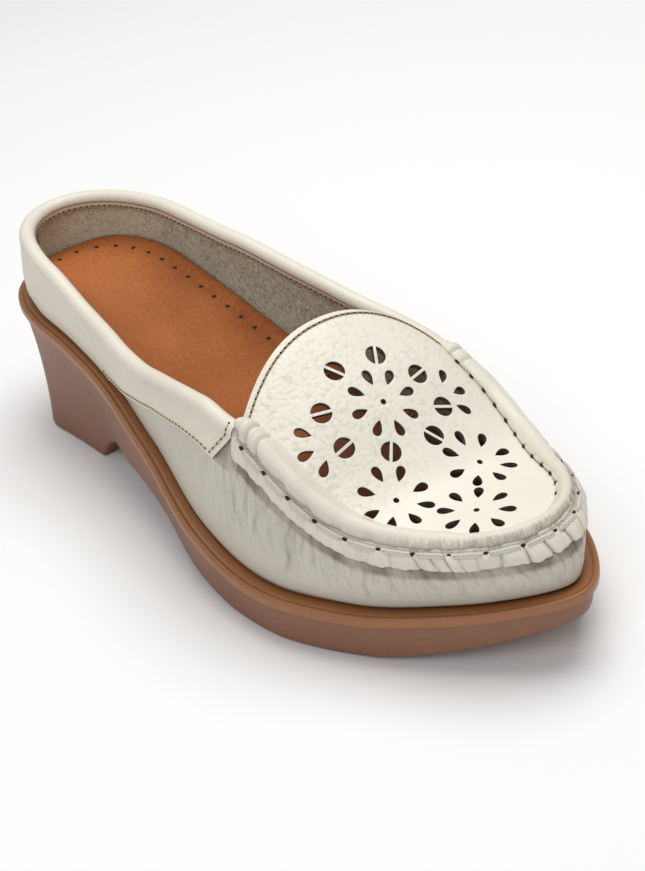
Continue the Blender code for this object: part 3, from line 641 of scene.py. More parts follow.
def cream_leather(name, light, dark, grain, grain_from_zone=False, wrinkles=0.0):
    """Cream leather with painted shade: darker in its creases and where shade says.

    The zone may drive the strength of the grain, and it drives that of the wrinkles.
    """
    material, tree, shader = new_material(
        name, Roughness=0.46, Coat_Weight=0.08, Coat_Roughness=0.3, Specular_IOR_Level=0.42)
    strength = math_node(tree, "MULTIPLY", read(tree, "zone"), grain) if grain_from_zone else grain
    pebbles = use(tree, PEBBLE, Cells=700.0, Strength=strength, Pores=0.14)
    tone = use(tree, CLOUD, Broad=34.0, Small=420.0, Share=0.3)[0]
    base = mix_colour(tree, tone, light, dark)
    height, lines, darkness = pebbles["Height"], pebbles["Crease"], 0.16
    if wrinkles:
        streak = use(tree, STREAK, Fineness=620.0, Length=75.0)
        amount = math_node(tree, "MULTIPLY", read(tree, "zone"), wrinkles)
        lines, darkness = math_node(tree, "MULTIPLY", streak["Line"], amount), 0.55
        relief = math_node(tree, "MULTIPLY", streak["Height"], amount)
        height = math_node(tree, "ADD", height, math_node(tree, "MULTIPLY", relief, 1.5))
        height = math_node(tree, "SUBTRACT", height, lines)
    # Painted shade: the grain's creases, the wrinkles' lines and the shade attribute mix in a dark brown
    painted_shade = math_node(tree, "MULTIPLY_ADD", lines, darkness, read(tree, "shade"))
    creased = mix_colour(tree, math_node(tree, "MINIMUM", painted_shade, 1.0), base, (0.20, 0.165, 0.12))
    rough = math_node(tree, "MULTIPLY_ADD", tone, 0.10, 0.40)
    fill(tree, shader, Base_Color=creased, Roughness=rough, Normal=bump(tree, height, 0.8, 0.00022))
    return material


def suede(name, light, dark, speck, grip=None):
    """Rough fuzzy leather with dark specks and a deep nap, darker where shade says.

    Where the zone is 1 it takes the grip colour. Plain takes the specks away.
    """
    material, tree, shader = new_material(name, Roughness=0.95, Sheen_Weight=0.2, Specular_IOR_Level=0.15)
    tone = use(tree, CLOUD, Broad=90.0, Small=700.0, Share=0.75)[0]
    base = mix_colour(tree, tone, light, dark)
    if grip:
        base = mix_colour(tree, read(tree, "zone"), base, grip)
    fuzz = node(tree, "ShaderNodeTexNoise", Vector=object_place(tree), Scale=580.0, Detail=5.0,
                Roughness=0.85, Distortion=1.5).outputs[0]
    spotty = math_node(tree, "SUBTRACT", 1.0, read(tree, "plain"))
    amount = math_node(tree, "MULTIPLY", spread(tree, fuzz, 0.52, 0.66), spotty)
    spotted = mix_colour(tree, amount, base, speck)
    # Painted shade where the shade attribute says
    painted_shade = mix_colour(tree, read(tree, "shade"), spotted, (0.04, 0.03, 0.018))
    fill(tree, shader, Base_Color=painted_shade, Normal=bump(tree, fuzz, 1.0, 0.0012))
    return material


def footbed_leather():
    """Tan leather: short nap, cloudy tone, darker where shade says."""
    material, tree, shader = new_material(
        "tan footbed leather", Roughness=0.72, Sheen_Weight=0.12, Specular_IOR_Level=0.2)
    tone = use(tree, CLOUD, Broad=42.0, Small=1100.0, Share=0.55)[0]
    base = mix_colour(tree, tone, (0.330, 0.088, 0.017), (0.560, 0.182, 0.047))
    # Painted shade where the shade attribute says
    painted_shade = mix_colour(tree, read(tree, "shade"), base, (0.085, 0.022, 0.007))
    grain = use(tree, PEBBLE, Cells=2300.0, Strength=0.35, Pores=0.8)["Height"]
    fill(tree, shader, Base_Color=painted_shade, Normal=bump(tree, grain, 0.45, 0.00016))
    return material


def moulded_rubber():
    """Brown moulded sole: smooth orange-brown rim, duller grained wall where the zone is 1."""
    material, tree, shader = new_material(
        "brown moulded sole", Roughness=0.42, Coat_Weight=0.06, Coat_Roughness=0.4)
    tone, zone = use(tree, CLOUD, Broad=30.0, Small=700.0, Share=0.4)[0], read(tree, "zone")
    rim = mix_colour(tree, tone, (0.285, 0.112, 0.038), (0.345, 0.140, 0.050))
    side = mix_colour(tree, tone, (0.200, 0.084, 0.044), (0.275, 0.120, 0.065))
    # Painted shade where the shade attribute says
    painted_shade = mix_colour(tree, read(tree, "shade"), mix_colour(tree, zone, rim, side), (0.10, 0.040, 0.018))
    rough = math_node(tree, "MULTIPLY_ADD", zone, 0.16, 0.38)
    grain = use(tree, PEBBLE, Cells=2600.0, Strength=0.25, Pores=0.9)["Height"]
    height = math_node(tree, "MULTIPLY", grain, zone)
    fill(tree, shader, Base_Color=painted_shade, Roughness=rough, Normal=bump(tree, height, 0.35, 0.00012))
    return material


def thread(name, colour):
    """Twisted thread: fine slanting strands as a wave bump, and painted shade between them as a light and
    dark twist.
    """
    material, tree, shader = new_material(name, Roughness=0.6, Sheen_Weight=0.2)
    twist = node(tree, "ShaderNodeTexWave", Vector=object_place(tree), Scale=900.0, Distortion=2.0,
                 Detail=1.0).outputs["Fac"]
    twisted = mix_colour(tree, twist, tuple(c * 0.55 for c in colour), colour)
    fill(tree, shader, Base_Color=twisted, Normal=bump(tree, twist, 0.4, 0.0001))
    return material


def hole_shade(name, colour):
    """Painted shade of a small hole, a little uneven."""
    material, tree, shader = new_material(name, Roughness=0.9, Specular_IOR_Level=0.1)
    tone = use(tree, CLOUD, Broad=400.0, Small=1500.0, Share=0.5)[0]
    fill(tree, shader, Base_Color=mix_colour(tree, tone, colour, tuple(c * 1.8 for c in colour)))
    return material


# One cream leather throughout: the vamp's darker colours are painted shade of the side walls, which face
# away from the lights overhead
VAMP_LEATHER = cream_leather(
    "cream vamp leather", (0.655, 0.620, 0.540), (0.585, 0.550, 0.470), 0.42, wrinkles=0.36)
APRON_LEATHER = cream_leather(
    "cream pebbled apron leather", (0.840, 0.800, 0.705), (0.770, 0.725, 0.625), 1.15, grain_from_zone=True)
SMOOTH_LEATHER = cream_leather("cream smooth leather", (0.790, 0.745, 0.643), (0.725, 0.675, 0.570), 0.12)
RIDGE_LEATHER = cream_leather(
    "cream ridge leather", (0.745, 0.705, 0.612), (0.685, 0.640, 0.545), 0.20, wrinkles=0.55)
# Cut edges: dark partly as cut leather's own colour, partly as painted shade inside the punched holes
CUT_LEATHER = suede("cut leather edge", (0.16, 0.12, 0.08), (0.09, 0.065, 0.04), (0.04, 0.03, 0.02))
# The grip colour is the heel patch's own warmer tone, painted lighter too: painted light on the heel's
# inside, which the lamps leave dim
LINING = suede("beige suede lining", (0.95, 0.94, 0.76), (0.66, 0.64, 0.46), (0.10, 0.078, 0.045),
               (0.97, 0.90, 0.70))
FOOTBED = footbed_leather()
RUBBER = moulded_rubber()
WHITE_THREAD = thread("off-white waxed thread", (0.80, 0.77, 0.70))
GOLD_THREAD = thread("gold thread", (0.74, 0.54, 0.27))
BROWN_THREAD = thread("brown thread", (0.46, 0.32, 0.15))
HOLE_SHADE = hole_shade("painted hole shade", (0.030, 0.022, 0.014))


# Sole

def make_sole():
    """Rings carried down a profile: ledge, groove, bead, band, step, hollow wall, round edge, tread.

    The wall goes straight from the step to the tread's outline, less a hollow of
    4t(1 - t) times the waist. The tread is cut by curved grooves.
    """
    # Millimetres in from the rim and down from its top, and the ring's painted shade: next to the upper, in
    # the groove and under the band's step
    rim_profile = [
        (6.7, 0.30, 0.25), (5.6, 0.30, 0.25), (4.6, 0.30, 0), (3.2, 0.30, 0), (2.5, 0.34, 0),
        (2.2, 0.46, 0.35), (1.95, 0.46, 0.35), (1.7, 0.28, 0), (1.4, 0.10, 0), (1.1, 0.02, 0),
        (0.8, 0.0, 0), (0.5, 0.07, 0), (0.27, 0.22, 0), (0.10, 0.48, 0), (0.02, 0.80, 0),
        (0.0, 1.2, 0), (0.0, 1.9, 0), (0.0, 2.6, 0), (0.03, 2.95, 0), (0.14, 3.15, 0),
        (0.40, 3.30, 0), (0.80, 3.38, 0.30), (1.05, 3.46, 0.30), (1.12, 3.62, 0)]
    rings = [ring(inset / 1000, drop / 1000) for inset, drop, dark in rim_profile]
    shade = [dark for inset, drop, dark in rim_profile]
    zone = [0.0] * (len(rings) - 3) + [0.5, 1.0, 1.0]
    top, bottom = rings[-1], tread_ring(0.0, 0.0012)
    waist = np.clip((BREAST + WAIST_FADE - ALONG) / WAIST_FADE, 0, 1)
    for t in np.linspace(0, 1, 19)[1:]:
        middle = top * (1 - t) + bottom * t
        middle[:, :2] -= OUTWARD * (WALL_WAIST * 4 * t * (1 - t) * waist)[:, None]
        rings.append(middle)
        zone.append(1.0)
        # Painted shade, growing towards the tread
        shade.append(0.10 * t ** 3)
    for inset, lift in ((0.15, 0.7), (0.45, 0.32), (0.85, 0.08), (1.2, 0.0)):
        rings.append(tread_ring(inset / 1000, lift / 1000))
        zone.append(1.0)
        # Painted shade on the round edge down to the tread
        shade.append(0.25)
    body = np.array(rings)

    def tread_height(x, y):
        """Underside with bent grooves across the tread and the heel's base."""
        wave = np.abs(((x + 0.006 * np.cos(y / 0.0105)) / TREAD_PITCH) % 1.0 - 0.5) * 2
        fore = between((-0.012, -0.004), (0.104, 0.112), x)
        heel = between((-0.102, -0.098), (-0.076, -0.071), x)
        groove = TREAD_DEPTH * (1 - step(0.10, 0.30, wave)) * np.maximum(fore, heel)
        return underside(share(x)) + groove

    top_cap = rows_across(body[0], 8, lambda x, y: rim_height(share(x)) - LEDGE_DROP)
    tread = rows_across(body[-1], 72, tread_height)
    points, faces = sheets([body, top_cap, tread], [True, False, False], [True, True, False])
    sizes = [body.shape[1], top_cap.shape[0] * top_cap.shape[1], tread.shape[0] * tread.shape[1]]
    zones = np.concatenate([np.repeat(zone, sizes[0]), np.zeros(sizes[1]), np.ones(sizes[2])])
    # Painted shade on the cap under the footbed and on the tread
    shades = np.concatenate([np.repeat(shade, sizes[0]), np.full(sizes[1], 0.3), np.full(sizes[2], 0.3)])
    new_piece("sole_moulding", points, faces, RUBBER, "sole", "sole", shade=shades, zone=zones)


# Footbed

def inside_wall(level, extra=0.0):
    """Inner surface of the side wall, moved in by the leather's thickness and extra."""
    point = wall(level)
    point[:, :2] -= TOP_OUT * (UPPER_WALL + extra)
    return point


def footbed_height(x, y):
    """Height of the footbed's top, rising with the cube of the distance from the middle."""
    half = np.maximum(np.interp(share(x), STATIONS, HALF - RIM_LEDGE), 0.004)
    v = np.clip(np.abs(y - np.interp(share(x), STATIONS, SHIFT)) / half, 0, 1.1)
    return rim_height(share(x)) + GAP + INSOLE_THICKNESS + INSOLE_PAD + INSOLE_CUP * v ** 3


def footbed_ring(inset):
    """Ring on the footbed, moved in from the inside of the wall."""
    xy = RIM - OUTWARD * (RIM_LEDGE + UPPER_WALL + inset)
    return np.column_stack([xy, footbed_height(xy[:, 0], xy[:, 1])])


def make_footbed():
    """A domed sheet over the sole: rounded border rings and rows from side to side."""
    rings = [ring(RIM_LEDGE + UPPER_WALL + GAP, -GAP)]
    border = ((0.3, 1.6), (0.35, 0.8), (0.6, 0.3), (1.1, 0.06), (1.8, 0.0), (3.0, 0.0), (4.6, 0.0))
    for inset, drop in border:
        edge = footbed_ring(inset / 1000)
        edge[:, 2] -= drop / 1000
        rings.append(edge)
    body = np.array(rings)
    middle = rows_across(body[-1], 40, footbed_height)
    points, faces = sheets([body, middle], [True, False], [True, True])
    # Painted shade on the border rings, darkest where the footbed meets the wall
    shade = np.repeat([0.8, 0.8, 0.6, 0.42, 0.32, 0.26, 0.20, 0.15], body.shape[1])
    v = np.abs(np.linspace(-1, 1, middle.shape[1]))[None, :]
    # Painted shade towards the border and under the apron; inside darkens all but the heel end, painted
    # light on the heel end, which the walls leave in shade
    ahead = step(0.0, 0.020, middle[..., 0] + 0.7 * middle[..., 1] + 0.002)
    inside = step(0.02, 0.24, STATIONS)[:, None]
    across = 0.13 * v ** 3 + 0.60 * ahead + 0.26 * inside
    shades = np.concatenate([shade, np.broadcast_to(across, middle.shape[:2]).ravel()])
    new_piece("footbed", points, faces, FOOTBED, "insole", "insole", shade=shades)


def make_pinholes():
    """Small dark holes near the footbed's border, closer together towards the front: dark grains, painted
    shade of holes that are not cut.
    """
    path = footbed_ring(PIN_INSET)
    sides = np.where(ALONG < PIN_FRONT)[0]
    order = np.r_[sides[sides >= AROUND], sides[sides < AROUND]]
    way = run_along(path[order])
    way = way - way[np.argmin(ALONG[order])]
    steps = np.cumsum(np.linspace(PIN_PITCH, PIN_PITCH * PIN_CLOSER, PIN_COUNT)) - PIN_PITCH / 2
    places = np.concatenate([-steps[::-1], steps])
    places = places[(places > way[0]) & (places < way[-1])]
    spots = read_at(places, way, path[order])
    spots[:, 2] = footbed_height(spots[:, 0], spots[:, 1])
    forward = np.tile([1.0, 0.0, 0.0], (len(spots), 1))
    up = np.tile([0.0, 0.0, 1.0], (len(spots), 1))
    add_grains("footbed_pinholes", spots, forward, up, PIN_HOLE, HOLE_SHADE, 10, 3)


# Upper walls and lining

def crease_field(run, level):
    """Sum of soft troughs, each with a low ridge on both sides, along slanting centre lines.

    With d the distance from a crease's line over its width, a trough is
    (1 - d squared) exp(-d squared) inside the crease's span of levels.
    """
    total = np.zeros(np.broadcast(run, level).shape)
    for top, foot, high, low, depth, width in CREASES.tolist():
        t = np.clip((high - level) / (high - low), -0.5, 1.5)
        line = (top * (1 - t) + foot * t) * LENGTH
        wander = 0.0006 * np.sin(level * 17 + top * 90)
        d = (run - line - wander) / (width * (0.7 + 0.5 * t))
        window = between((low - 0.10, low + 0.12), (high + 0.04, high + 0.14), level)
        total += depth * window * (1 - d * d) * np.exp(-d * d)
    return total


def make_vamp():
    """Side wall: rings from the ledge to the top edge, pushed in along its normals by the creases."""
    levels = np.concatenate([[0.0, 0.012, 0.03], np.linspace(0.055, 1.0, 60)])
    grid = np.array([wall(level) for level in levels])
    run = run_along(wall(0.6))
    run = run - run[AROUND]
    field = crease_field(run[None, :], levels[:, None])
    normal = -grid_normals(grid, True)
    fore = step(0.52, 0.68, ALONG)[None, :]
    ripple = 0.00008 * np.sin(run[None, :] / 0.0011 + 2.5 * np.sin(levels[:, None] * 9))
    ripple = ripple * fore * step(0.45, 0.85, levels)[:, None]
    grid = grid - normal * (field * CREASE_DEPTH + ripple)[..., None]
    tuck = (1 - step(0.0, 0.05, levels))[:, None]
    grid[..., :2] -= (OUTWARD[None] * tuck[..., None]) * 0.0007
    # Painted shade: in the creases' troughs, along the foot where the wall tucks in at the sole, and a
    # little towards the bottom
    shade = np.clip(field, 0, 1) ** 2 * 0.45 + 0.6 * (1 - step(0.0, 0.035, levels))[:, None]
    shade = shade + 0.06 * (1 - step(0.0, 0.25, levels))[:, None]
    # Painted shadow under the flange: an uneven dark line on the wall just below the part its edge hides
    broken = 0.72 + 0.28 * np.sin(run / 0.0031 + 1.8 * np.sin(run / 0.0087))[None, :]
    hidden = level_below(FLANGE_WIDTH, 0.6) - FLANGE_OVERHANG / TOP_UP
    under = np.clip(hidden[None, :] - levels[:, None], 0.0, 1.0) * TOP_UP[None, :]
    shade = shade + 0.85 * fore * broken * bell(under, 0.00090)
    # Painted shadow of the collar band's lower edge, a thin line just under it
    lap = (ALONG < COLLAR_END) * bell(levels[:, None] - COLLAR_LOW[None, :] + 0.008, 0.012)
    shade = shade + 0.45 * lap
    # Strength of the fine wrinkles, whose dark lines are painted shade
    streaks = (0.25 + 0.75 * fore) * step(0.04, 0.45, levels)[:, None]
    points, faces = sheets([grid], [True], [True])
    new_piece("vamp_and_quarters", points, faces, VAMP_LEATHER, "upper", "upper", shade=shade, zone=streaks,
              run=np.broadcast_to(run[None, :], field.shape),
              down=np.broadcast_to(levels[:, None] * SIDE_HEIGHT / 2, field.shape))


def make_lining():
    """Inner surface of the side wall from the footbed to under the collar's lip.

    The heel grip is a smoother patch round the heel, the rest is rough. A seam
    runs down just outside the heel's middle.
    """
    levels = np.linspace(0.06, 0.985, 34)
    run = run_along(inside_wall(0.7))
    back = np.where(SIDE < 0, -run, run[-1] - run)
    grip = between((-0.055, -0.050), (0.040, 0.044), back)
    left = between((-0.052, -0.048), (-0.010, -0.008), back)
    seam = bell(back + 0.009, 0.0007)
    grid = np.array([inside_wall(level, -0.0001) for level in levels])
    grid = grid + TOP_AWAY[None] * (seam * 0.0005 - step(0.040, 0.043, back) * 0.0003)[None, :, None]
    zone = grip * (1 - 0.55 * left)
    plain = left * 0.9 + (grip - left).clip(0, 1) * 0.25
    # Painted shade under the collar's roll and in the seam's groove
    under = step(0.88, 0.98, levels)[:, None] * 0.35
    shade = np.clip(under + 0.55 * seam[None, :], 0, 1)
    points, faces = sheets([grid], [True])
    new_piece("suede_lining", points, faces, LINING, "upper", "upper", shade=shade,
              zone=np.tile(zone, len(levels)), plain=np.tile(plain, len(levels)))


# Apron

def apron_grid(columns):
    """Rows across from the outer to the inner top edge.

    Each row's height gains crown times (1 - |v| to the power), leaning to the inner
    side, and its middle bows back by the throat's reach times (1 - v squared).
    """
    stop = int(np.argmin(np.abs(STATIONS - APRON_END)))
    outer, inner = [side[THROAT_AT:stop] for side in both_sides(wall(1.0))]
    along = STATIONS[THROAT_AT:stop]
    v = np.linspace(-1, 1, columns + 1)[None, :]
    grid = outer[:, None] * ((1 - v) / 2)[..., None] + inner[:, None] * ((1 + v) / 2)[..., None]
    arc = (1 - np.abs(v) ** APRON_POWER) * (1 + CROWN_LEAN * v)
    grid[..., 2] += (smooth(APRON, "crown", along) * INSTEP_RISE)[:, None] * arc
    grid[..., 0] -= (smooth(APRON, "bow", along) * THROAT_REACH)[:, None] * (1 - v * v)
    return grid


APRON_FINE = apron_grid(120)
APRON_NORMAL = grid_normals(APRON_FINE)
APRON_NORMAL *= np.sign(APRON_NORMAL[..., 2:])


def apron_place(places):
    """Points of the apron over places in plan, on the plane of the nearest grid point, and its normals."""
    x, y = places[:, 0], places[:, 1]
    flat = APRON_FINE.reshape(-1, 3)
    nearest = np.argmin((flat[:, 0] - x[:, None]) ** 2 + (flat[:, 1] - y[:, None]) ** 2, axis=1)
    base, normal = flat[nearest], APRON_NORMAL.reshape(-1, 3)[nearest]
    z = base[:, 2] - (normal[:, 0] * (x - base[:, 0]) + normal[:, 1] * (y - base[:, 1])) / normal[:, 2]
    return np.column_stack([x, y, z]), normal


def petal_outline():
    """Drop shape: a point near the flower's middle, a round outer end."""
    turn = np.arange(22) * 2 * np.pi / 22
    half = np.sin(turn) * np.sin(turn / 2)
    return np.column_stack([-PETAL_LENGTH / 2 * np.cos(turn), PETAL_WIDTH / 2 * half / PETAL_FULLNESS])


def half_bean_outline(side):
    """Half of a round hole, cut straight along the bar that splits it."""
    start = np.arcsin(BEAN_BAR / 2 / BEAN_RADIUS)
    bend = np.linspace(start, np.pi - start, 18)
    return np.column_stack([BEAN_RADIUS * np.cos(bend), side * BEAN_RADIUS * np.sin(bend)])


def pattern_place(along, across):
    """Place in plan of a spot of the pattern, turned about the first flower."""
    start = FLOWERS[0]["along"]
    ahead, aside = (along - start) * LENGTH, across * BALL_WIDTH
    cos, sin = np.cos(PATTERN_TURN), np.sin(PATTERN_TURN)
    x = (start - 0.5) * LENGTH + ahead * cos - aside * sin
    return x, PATTERN_SHIFT * BALL_WIDTH - CENTRE + ahead * sin + aside * cos


def hole_outlines():
    """Every punched hole: its place, turn, distance from the place, and outline."""
    bend = np.linspace(0, 2 * np.pi, 14, endpoint=False)
    eye = EYE_RADIUS * np.column_stack([np.cos(bend), np.sin(bend)])
    holes = []
    for flower in FLOWERS:
        x, y = pattern_place(flower["along"], flower["across"])
        turns = np.arange(8) * np.pi / 4
        if flower["whole"]:
            holes.append((x, y, 0.0, 0.0, eye))
        else:
            turns = np.sign(flower["across"]) * np.array([0.25, 0.5, 0.75]) * np.pi
        holes += [(x, y, turn + PATTERN_TURN, FLOWER_RADIUS, petal_outline()) for turn in turns]
    for bean in BEANS:
        x, y = pattern_place(bean["along"], bean["across"])
        turn = np.arctan2(bean["across"] * BALL_WIDTH, (bean["along"] - FLOWERS[0]["along"]) * LENGTH)
        holes += [(x, y, turn + PATTERN_TURN, 0.0, half_bean_outline(half)) for half in (1, -1)]
    return holes


def punch_mesh():
    """Prisms through the apron along its normals, one for each hole."""
    points, faces = [], []
    for x, y, turn, reach, outline in hole_outlines():
        (base,), (normal,) = apron_place(np.array([[x, y]]))
        forward = unit(np.cross([0.0, 1.0, 0.0], normal))
        left = np.cross(normal, forward)
        ahead = forward * np.cos(turn) + left * np.sin(turn)
        aside = left * np.cos(turn) - forward * np.sin(turn)
        if reach:
            (base,), (normal,) = apron_place((base + ahead * reach)[None])
            aside = unit(np.cross(normal, ahead))
            ahead = np.cross(aside, normal)
        flat = base + outline[:, :1] * ahead + outline[:, 1:] * aside
        upper = len(points) + np.arange(len(outline))
        lower = upper + len(outline)
        points += (flat + normal * PUNCH_REACH).tolist() + (flat - normal * PUNCH_REACH).tolist()
        faces += [upper.tolist(), lower[::-1].tolist()]
        faces += np.column_stack([upper, lower, np.roll(lower, -1), np.roll(upper, -1)]).tolist()
    mesh = bpy.data.meshes.new("punches")
    mesh.from_pydata(points, [], faces)
    work = bmesh.new()
    work.from_mesh(mesh)
    bmesh.ops.recalc_face_normals(work, faces=work.faces)
    work.to_mesh(mesh)
    work.free()
    return mesh


def make_apron():
    """A slab of leather under the crowned grid, its border closed, punched with the flowers."""
    v = np.linspace(-1, 1, APRON_FINE.shape[1])[None, :]
    rows = np.linspace(0, 1, APRON_FINE.shape[0])[:, None]
    along = STATIONS[THROAT_AT:THROAT_AT + APRON_FINE.shape[0]][:, None]
    border = step(0.80, 0.99, np.abs(v)) * (1 - step(0.80, 0.90, along))
    ripple = 0.00016 * np.sin(rows * 150 + 2 * np.sin(v * 25)) * border
    top = APRON_FINE + APRON_NORMAL * ripple[..., None]
    rim = 0.0011 * (1 - step(0.0, 0.035, rows)) ** 2
    top = top - APRON_NORMAL * (rim * 0.6)[..., None]
    low = APRON_FINE - APRON_NORMAL * UPPER_WALL
    low[0, :, 0] += 0.0006
    points, faces = sheets([top, low], None, [True, False])
    count = top.shape[0] * top.shape[1]
    corner = np.arange(count).reshape(top.shape[:2])
    loop = np.concatenate([corner[0, :-1], corner[:-1, -1], corner[-1, :0:-1], corner[:0:-1, 0]])
    after = np.roll(loop, -1)
    border_faces = np.column_stack([loop, after, after + count, loop + count])
    fade = 1 - step(0.745, 0.86, along + 0.02 * v)
    zone = np.clip(0.10 + 0.9 * fade * (0.72 - 0.28 * v), 0, 1)
    zones = np.concatenate([zone.ravel(), zone.ravel()])
    shades = np.zeros(2 * count)
    piece = new_piece("punched_apron", points, np.concatenate([faces, border_faces]), APRON_LEATHER,
                      None, "upper", shade=shades, zone=zones)
    piece.data.materials.append(CUT_LEATHER)
    cutter = add_object("punches", punch_mesh())
    cutter.data.materials.append(CUT_LEATHER)
    cut = piece.modifiers.new("flowers", "BOOLEAN")
    cut.operation, cut.solver, cut.object = "DIFFERENCE", "EXACT", cutter
    cut.material_mode = "TRANSFER"
    bpy.context.view_layer.update()
    finished = bpy.data.meshes.new_from_object(piece.evaluated_get(bpy.context.evaluated_depsgraph_get()))
    piece.modifiers.clear()
    piece.data = finished
    bpy.data.objects.remove(cutter)
    finished.shade_smooth()
    finished.set_sharp_from_angle(angle=0.75)


# Ridge

def smoothed(vectors, rounds=12):
    """Unit vectors after repeated averaging with their neighbours."""
    result = vectors.copy()
    for _ in range(rounds):
        result[1:-1] = (result[:-2] + 2 * result[1:-1] + result[2:]) / 4
    return unit(result)


def ridge_frame():
    """Evenly spaced frames along the seam, from corner to corner round the toe."""
    path = np.arange(THROAT_AT, 2 * AROUND - THROAT_AT + 1)
    seam = wall(1.0)[path]
    low_level = level_below(FLANGE_WIDTH, 0.6)
    low, middle = wall(low_level)[path], wall((1 + low_level) / 2)[path]
    out = TOP_AWAY[path]
    front = between((0.26, 0.40), (0.66, 0.80), np.linspace(0, 1, len(path)))
    reach = ROLL_SHIFT + RIDGE_RADIUS * (0.66 - 0.58 * front)[:, None]
    foot, far = [apron_place(seam - out * distance)[0] for distance in (reach, reach + FLOW_REACH)]
    arrays = even_spots(seam, ROLL_STEP, 0.0, foot, far, middle, low, out)
    found = dict(zip(("seam", "foot", "far", "mid", "low", "out"), arrays))
    found["run"] = run_along(found["seam"])
    found["down"] = smoothed(found["low"] - found["seam"])
    found["toe"] = found["seam"] + found["down"] * (RIDGE_RADIUS - ROLL_SHIFT) + found["out"] * GAP
    found["across"] = smoothed(found["toe"] - found["foot"])
    found["half"] = np.linalg.norm(found["toe"] - found["foot"], axis=1) / 2
    lean = np.array([0.0, 0.0, 1.0]) + found["out"] * 0.25
    peak = lean - found["across"] * (lean * found["across"]).sum(axis=1)[:, None]
    found["peak"] = smoothed(peak)
    found["end"] = np.minimum(found["run"], found["run"][-1] - found["run"])
    whole = found["run"] / found["run"][-1]
    found["front"] = between((0.20, 0.40), (0.64, 0.84), whole)
    found["high"] = RIDGE_RADIUS * (1 - 0.26 * between((0.20, 0.34), (0.64, 0.84), whole))
    found["soft"] = between((0.03, 0.08), (0.57, 0.63), whole)
    return found


RIDGE = ridge_frame()


def wraps(width, second_width):
    """Two tight wraps near each end of the roll, the second one weaker."""
    first, second = [RIDGE["end"] - place for place in WRAP_PLACES]
    return bell(first, width) + 0.8 * bell(second, second_width)


def ridge_surface(angle):
    """Point of the roll at an angle, 0 at its outer foot, pi at its inner foot.

    Its radius is pinched at every stitch near the outer foot, gathered round the
    toe, waves slightly and has two tight wraps near each end.
    """
    run = RIDGE["run"]
    stitch = np.cos(2 * np.pi * run / HAND_PITCH)
    pinch = -0.00045 * bell(angle - 0.30, 0.45) * step(0.1, 1.0, stitch)
    gather = 0.00013 * np.sin(run / 0.00047 + 1.7 * np.sin(run / 0.0041) + angle * 0.8)
    gather = gather + 0.00013 * np.sin(run / 0.00083 + 2.1 * np.sin(run / 0.0063))
    gather = gather * (0.10 + 0.90 * RIDGE["front"]) * (0.2 + 0.8 * bell(angle - 0.45, 0.6))
    broad = 0.00014 * np.sin(run / 0.0047 + 0.9) + 0.00008 * np.sin(run / 0.0019 + 2.0)
    taper = 1 - step(0.0, 0.0024, RIDGE["end"])
    extra = pinch + gather + broad - 0.00095 * wraps(0.00050, 0.00055) - 0.0012 * taper
    arc = (RIDGE["across"] * ((RIDGE["half"] + extra) * np.cos(angle))[:, None]
           + RIDGE["peak"] * (GAP + (RIDGE["high"] + extra) * np.sin(angle))[:, None])
    return (RIDGE["foot"] + RIDGE["toe"]) / 2 + arc


def inner_side(q):
    """The roll's inner side: the round arc where it is stitched, a soft flow elsewhere.

    The flow runs from the roll over its inner foot on to the apron, three points
    weighed by (1 - q) squared, 2q(1 - q) and q squared.
    """
    start, up = ridge_surface(2.05), RIDGE["peak"]
    arc = ridge_surface(2.05 + 1.25 * q)
    flow = (start * (1 - q) ** 2 + (RIDGE["foot"] + up * 0.0003) * 2 * q * (1 - q)
            + (RIDGE["far"] - up * 0.0003) * q * q)
    soft = RIDGE["soft"][:, None]
    return arc * (1 - soft) + flow * soft


def flange_cuts(t):
    """Distance from the nearest cut across the flange, and that cut's depth, 0.3 to 1.

    Cuts are unevenly spaced and lean one way and the other by 2 mm from top to edge.
    """
    run = RIDGE["run"]
    lean = 0.0020 * t * np.sin(run / 0.0061 + 0.6) + 0.0010 * t
    phase = (run + lean) / CUT_PITCH + 0.30 * np.sin(run / 0.0105) + 0.16 * np.sin(run / 0.0037)
    number = np.floor(phase + 0.5)
    depth = 0.3 + 0.7 * np.abs(np.sin(number * 12.9898))
    return (0.5 - np.abs(phase % 1.0 - 0.5)) * CUT_PITCH, depth


def flange_surface(t, lift):
    """Point of the flange, t from 0 at the seam to 1 at its raw edge, lifted off the wall.

    The raw edge waves. Round the toe, cuts divide it into domed blocks: bell curves
    0.3 mm wide.
    """
    run, front = RIDGE["run"], RIDGE["front"]
    wave = 0.00022 * np.sin(run / 0.0034) + 0.00016 * np.sin(run / 0.0013 + 1.0)
    wave = wave + 0.00013 * np.sin(run / 0.0005)
    point = RIDGE["seam"] * (1 - t) * (1 - 2 * t) + RIDGE["mid"] * 4 * t * (1 - t)
    point = point + RIDGE["low"] * t * (2 * t - 1)
    point = point + RIDGE["down"] * (wave * t ** 3)[:, None]
    away, depth = flange_cuts(t)
    dome = np.clip(away / CUT_PITCH * 2, 0, 1)
    block = front * depth * (0.00034 * (1 - (1 - dome) ** 4) - 0.00090 * bell(away, 0.00030))
    soft = 0.00022 * np.sin(run / 0.0029 + 1.3) * t + 0.00012 * np.sin(run / 0.0011) * t
    thin = 0.62 + 0.38 * front
    return point + RIDGE["out"] * (GAP + lift * thin + (block + soft) * min(1.0, lift / 0.0008))[:, None]


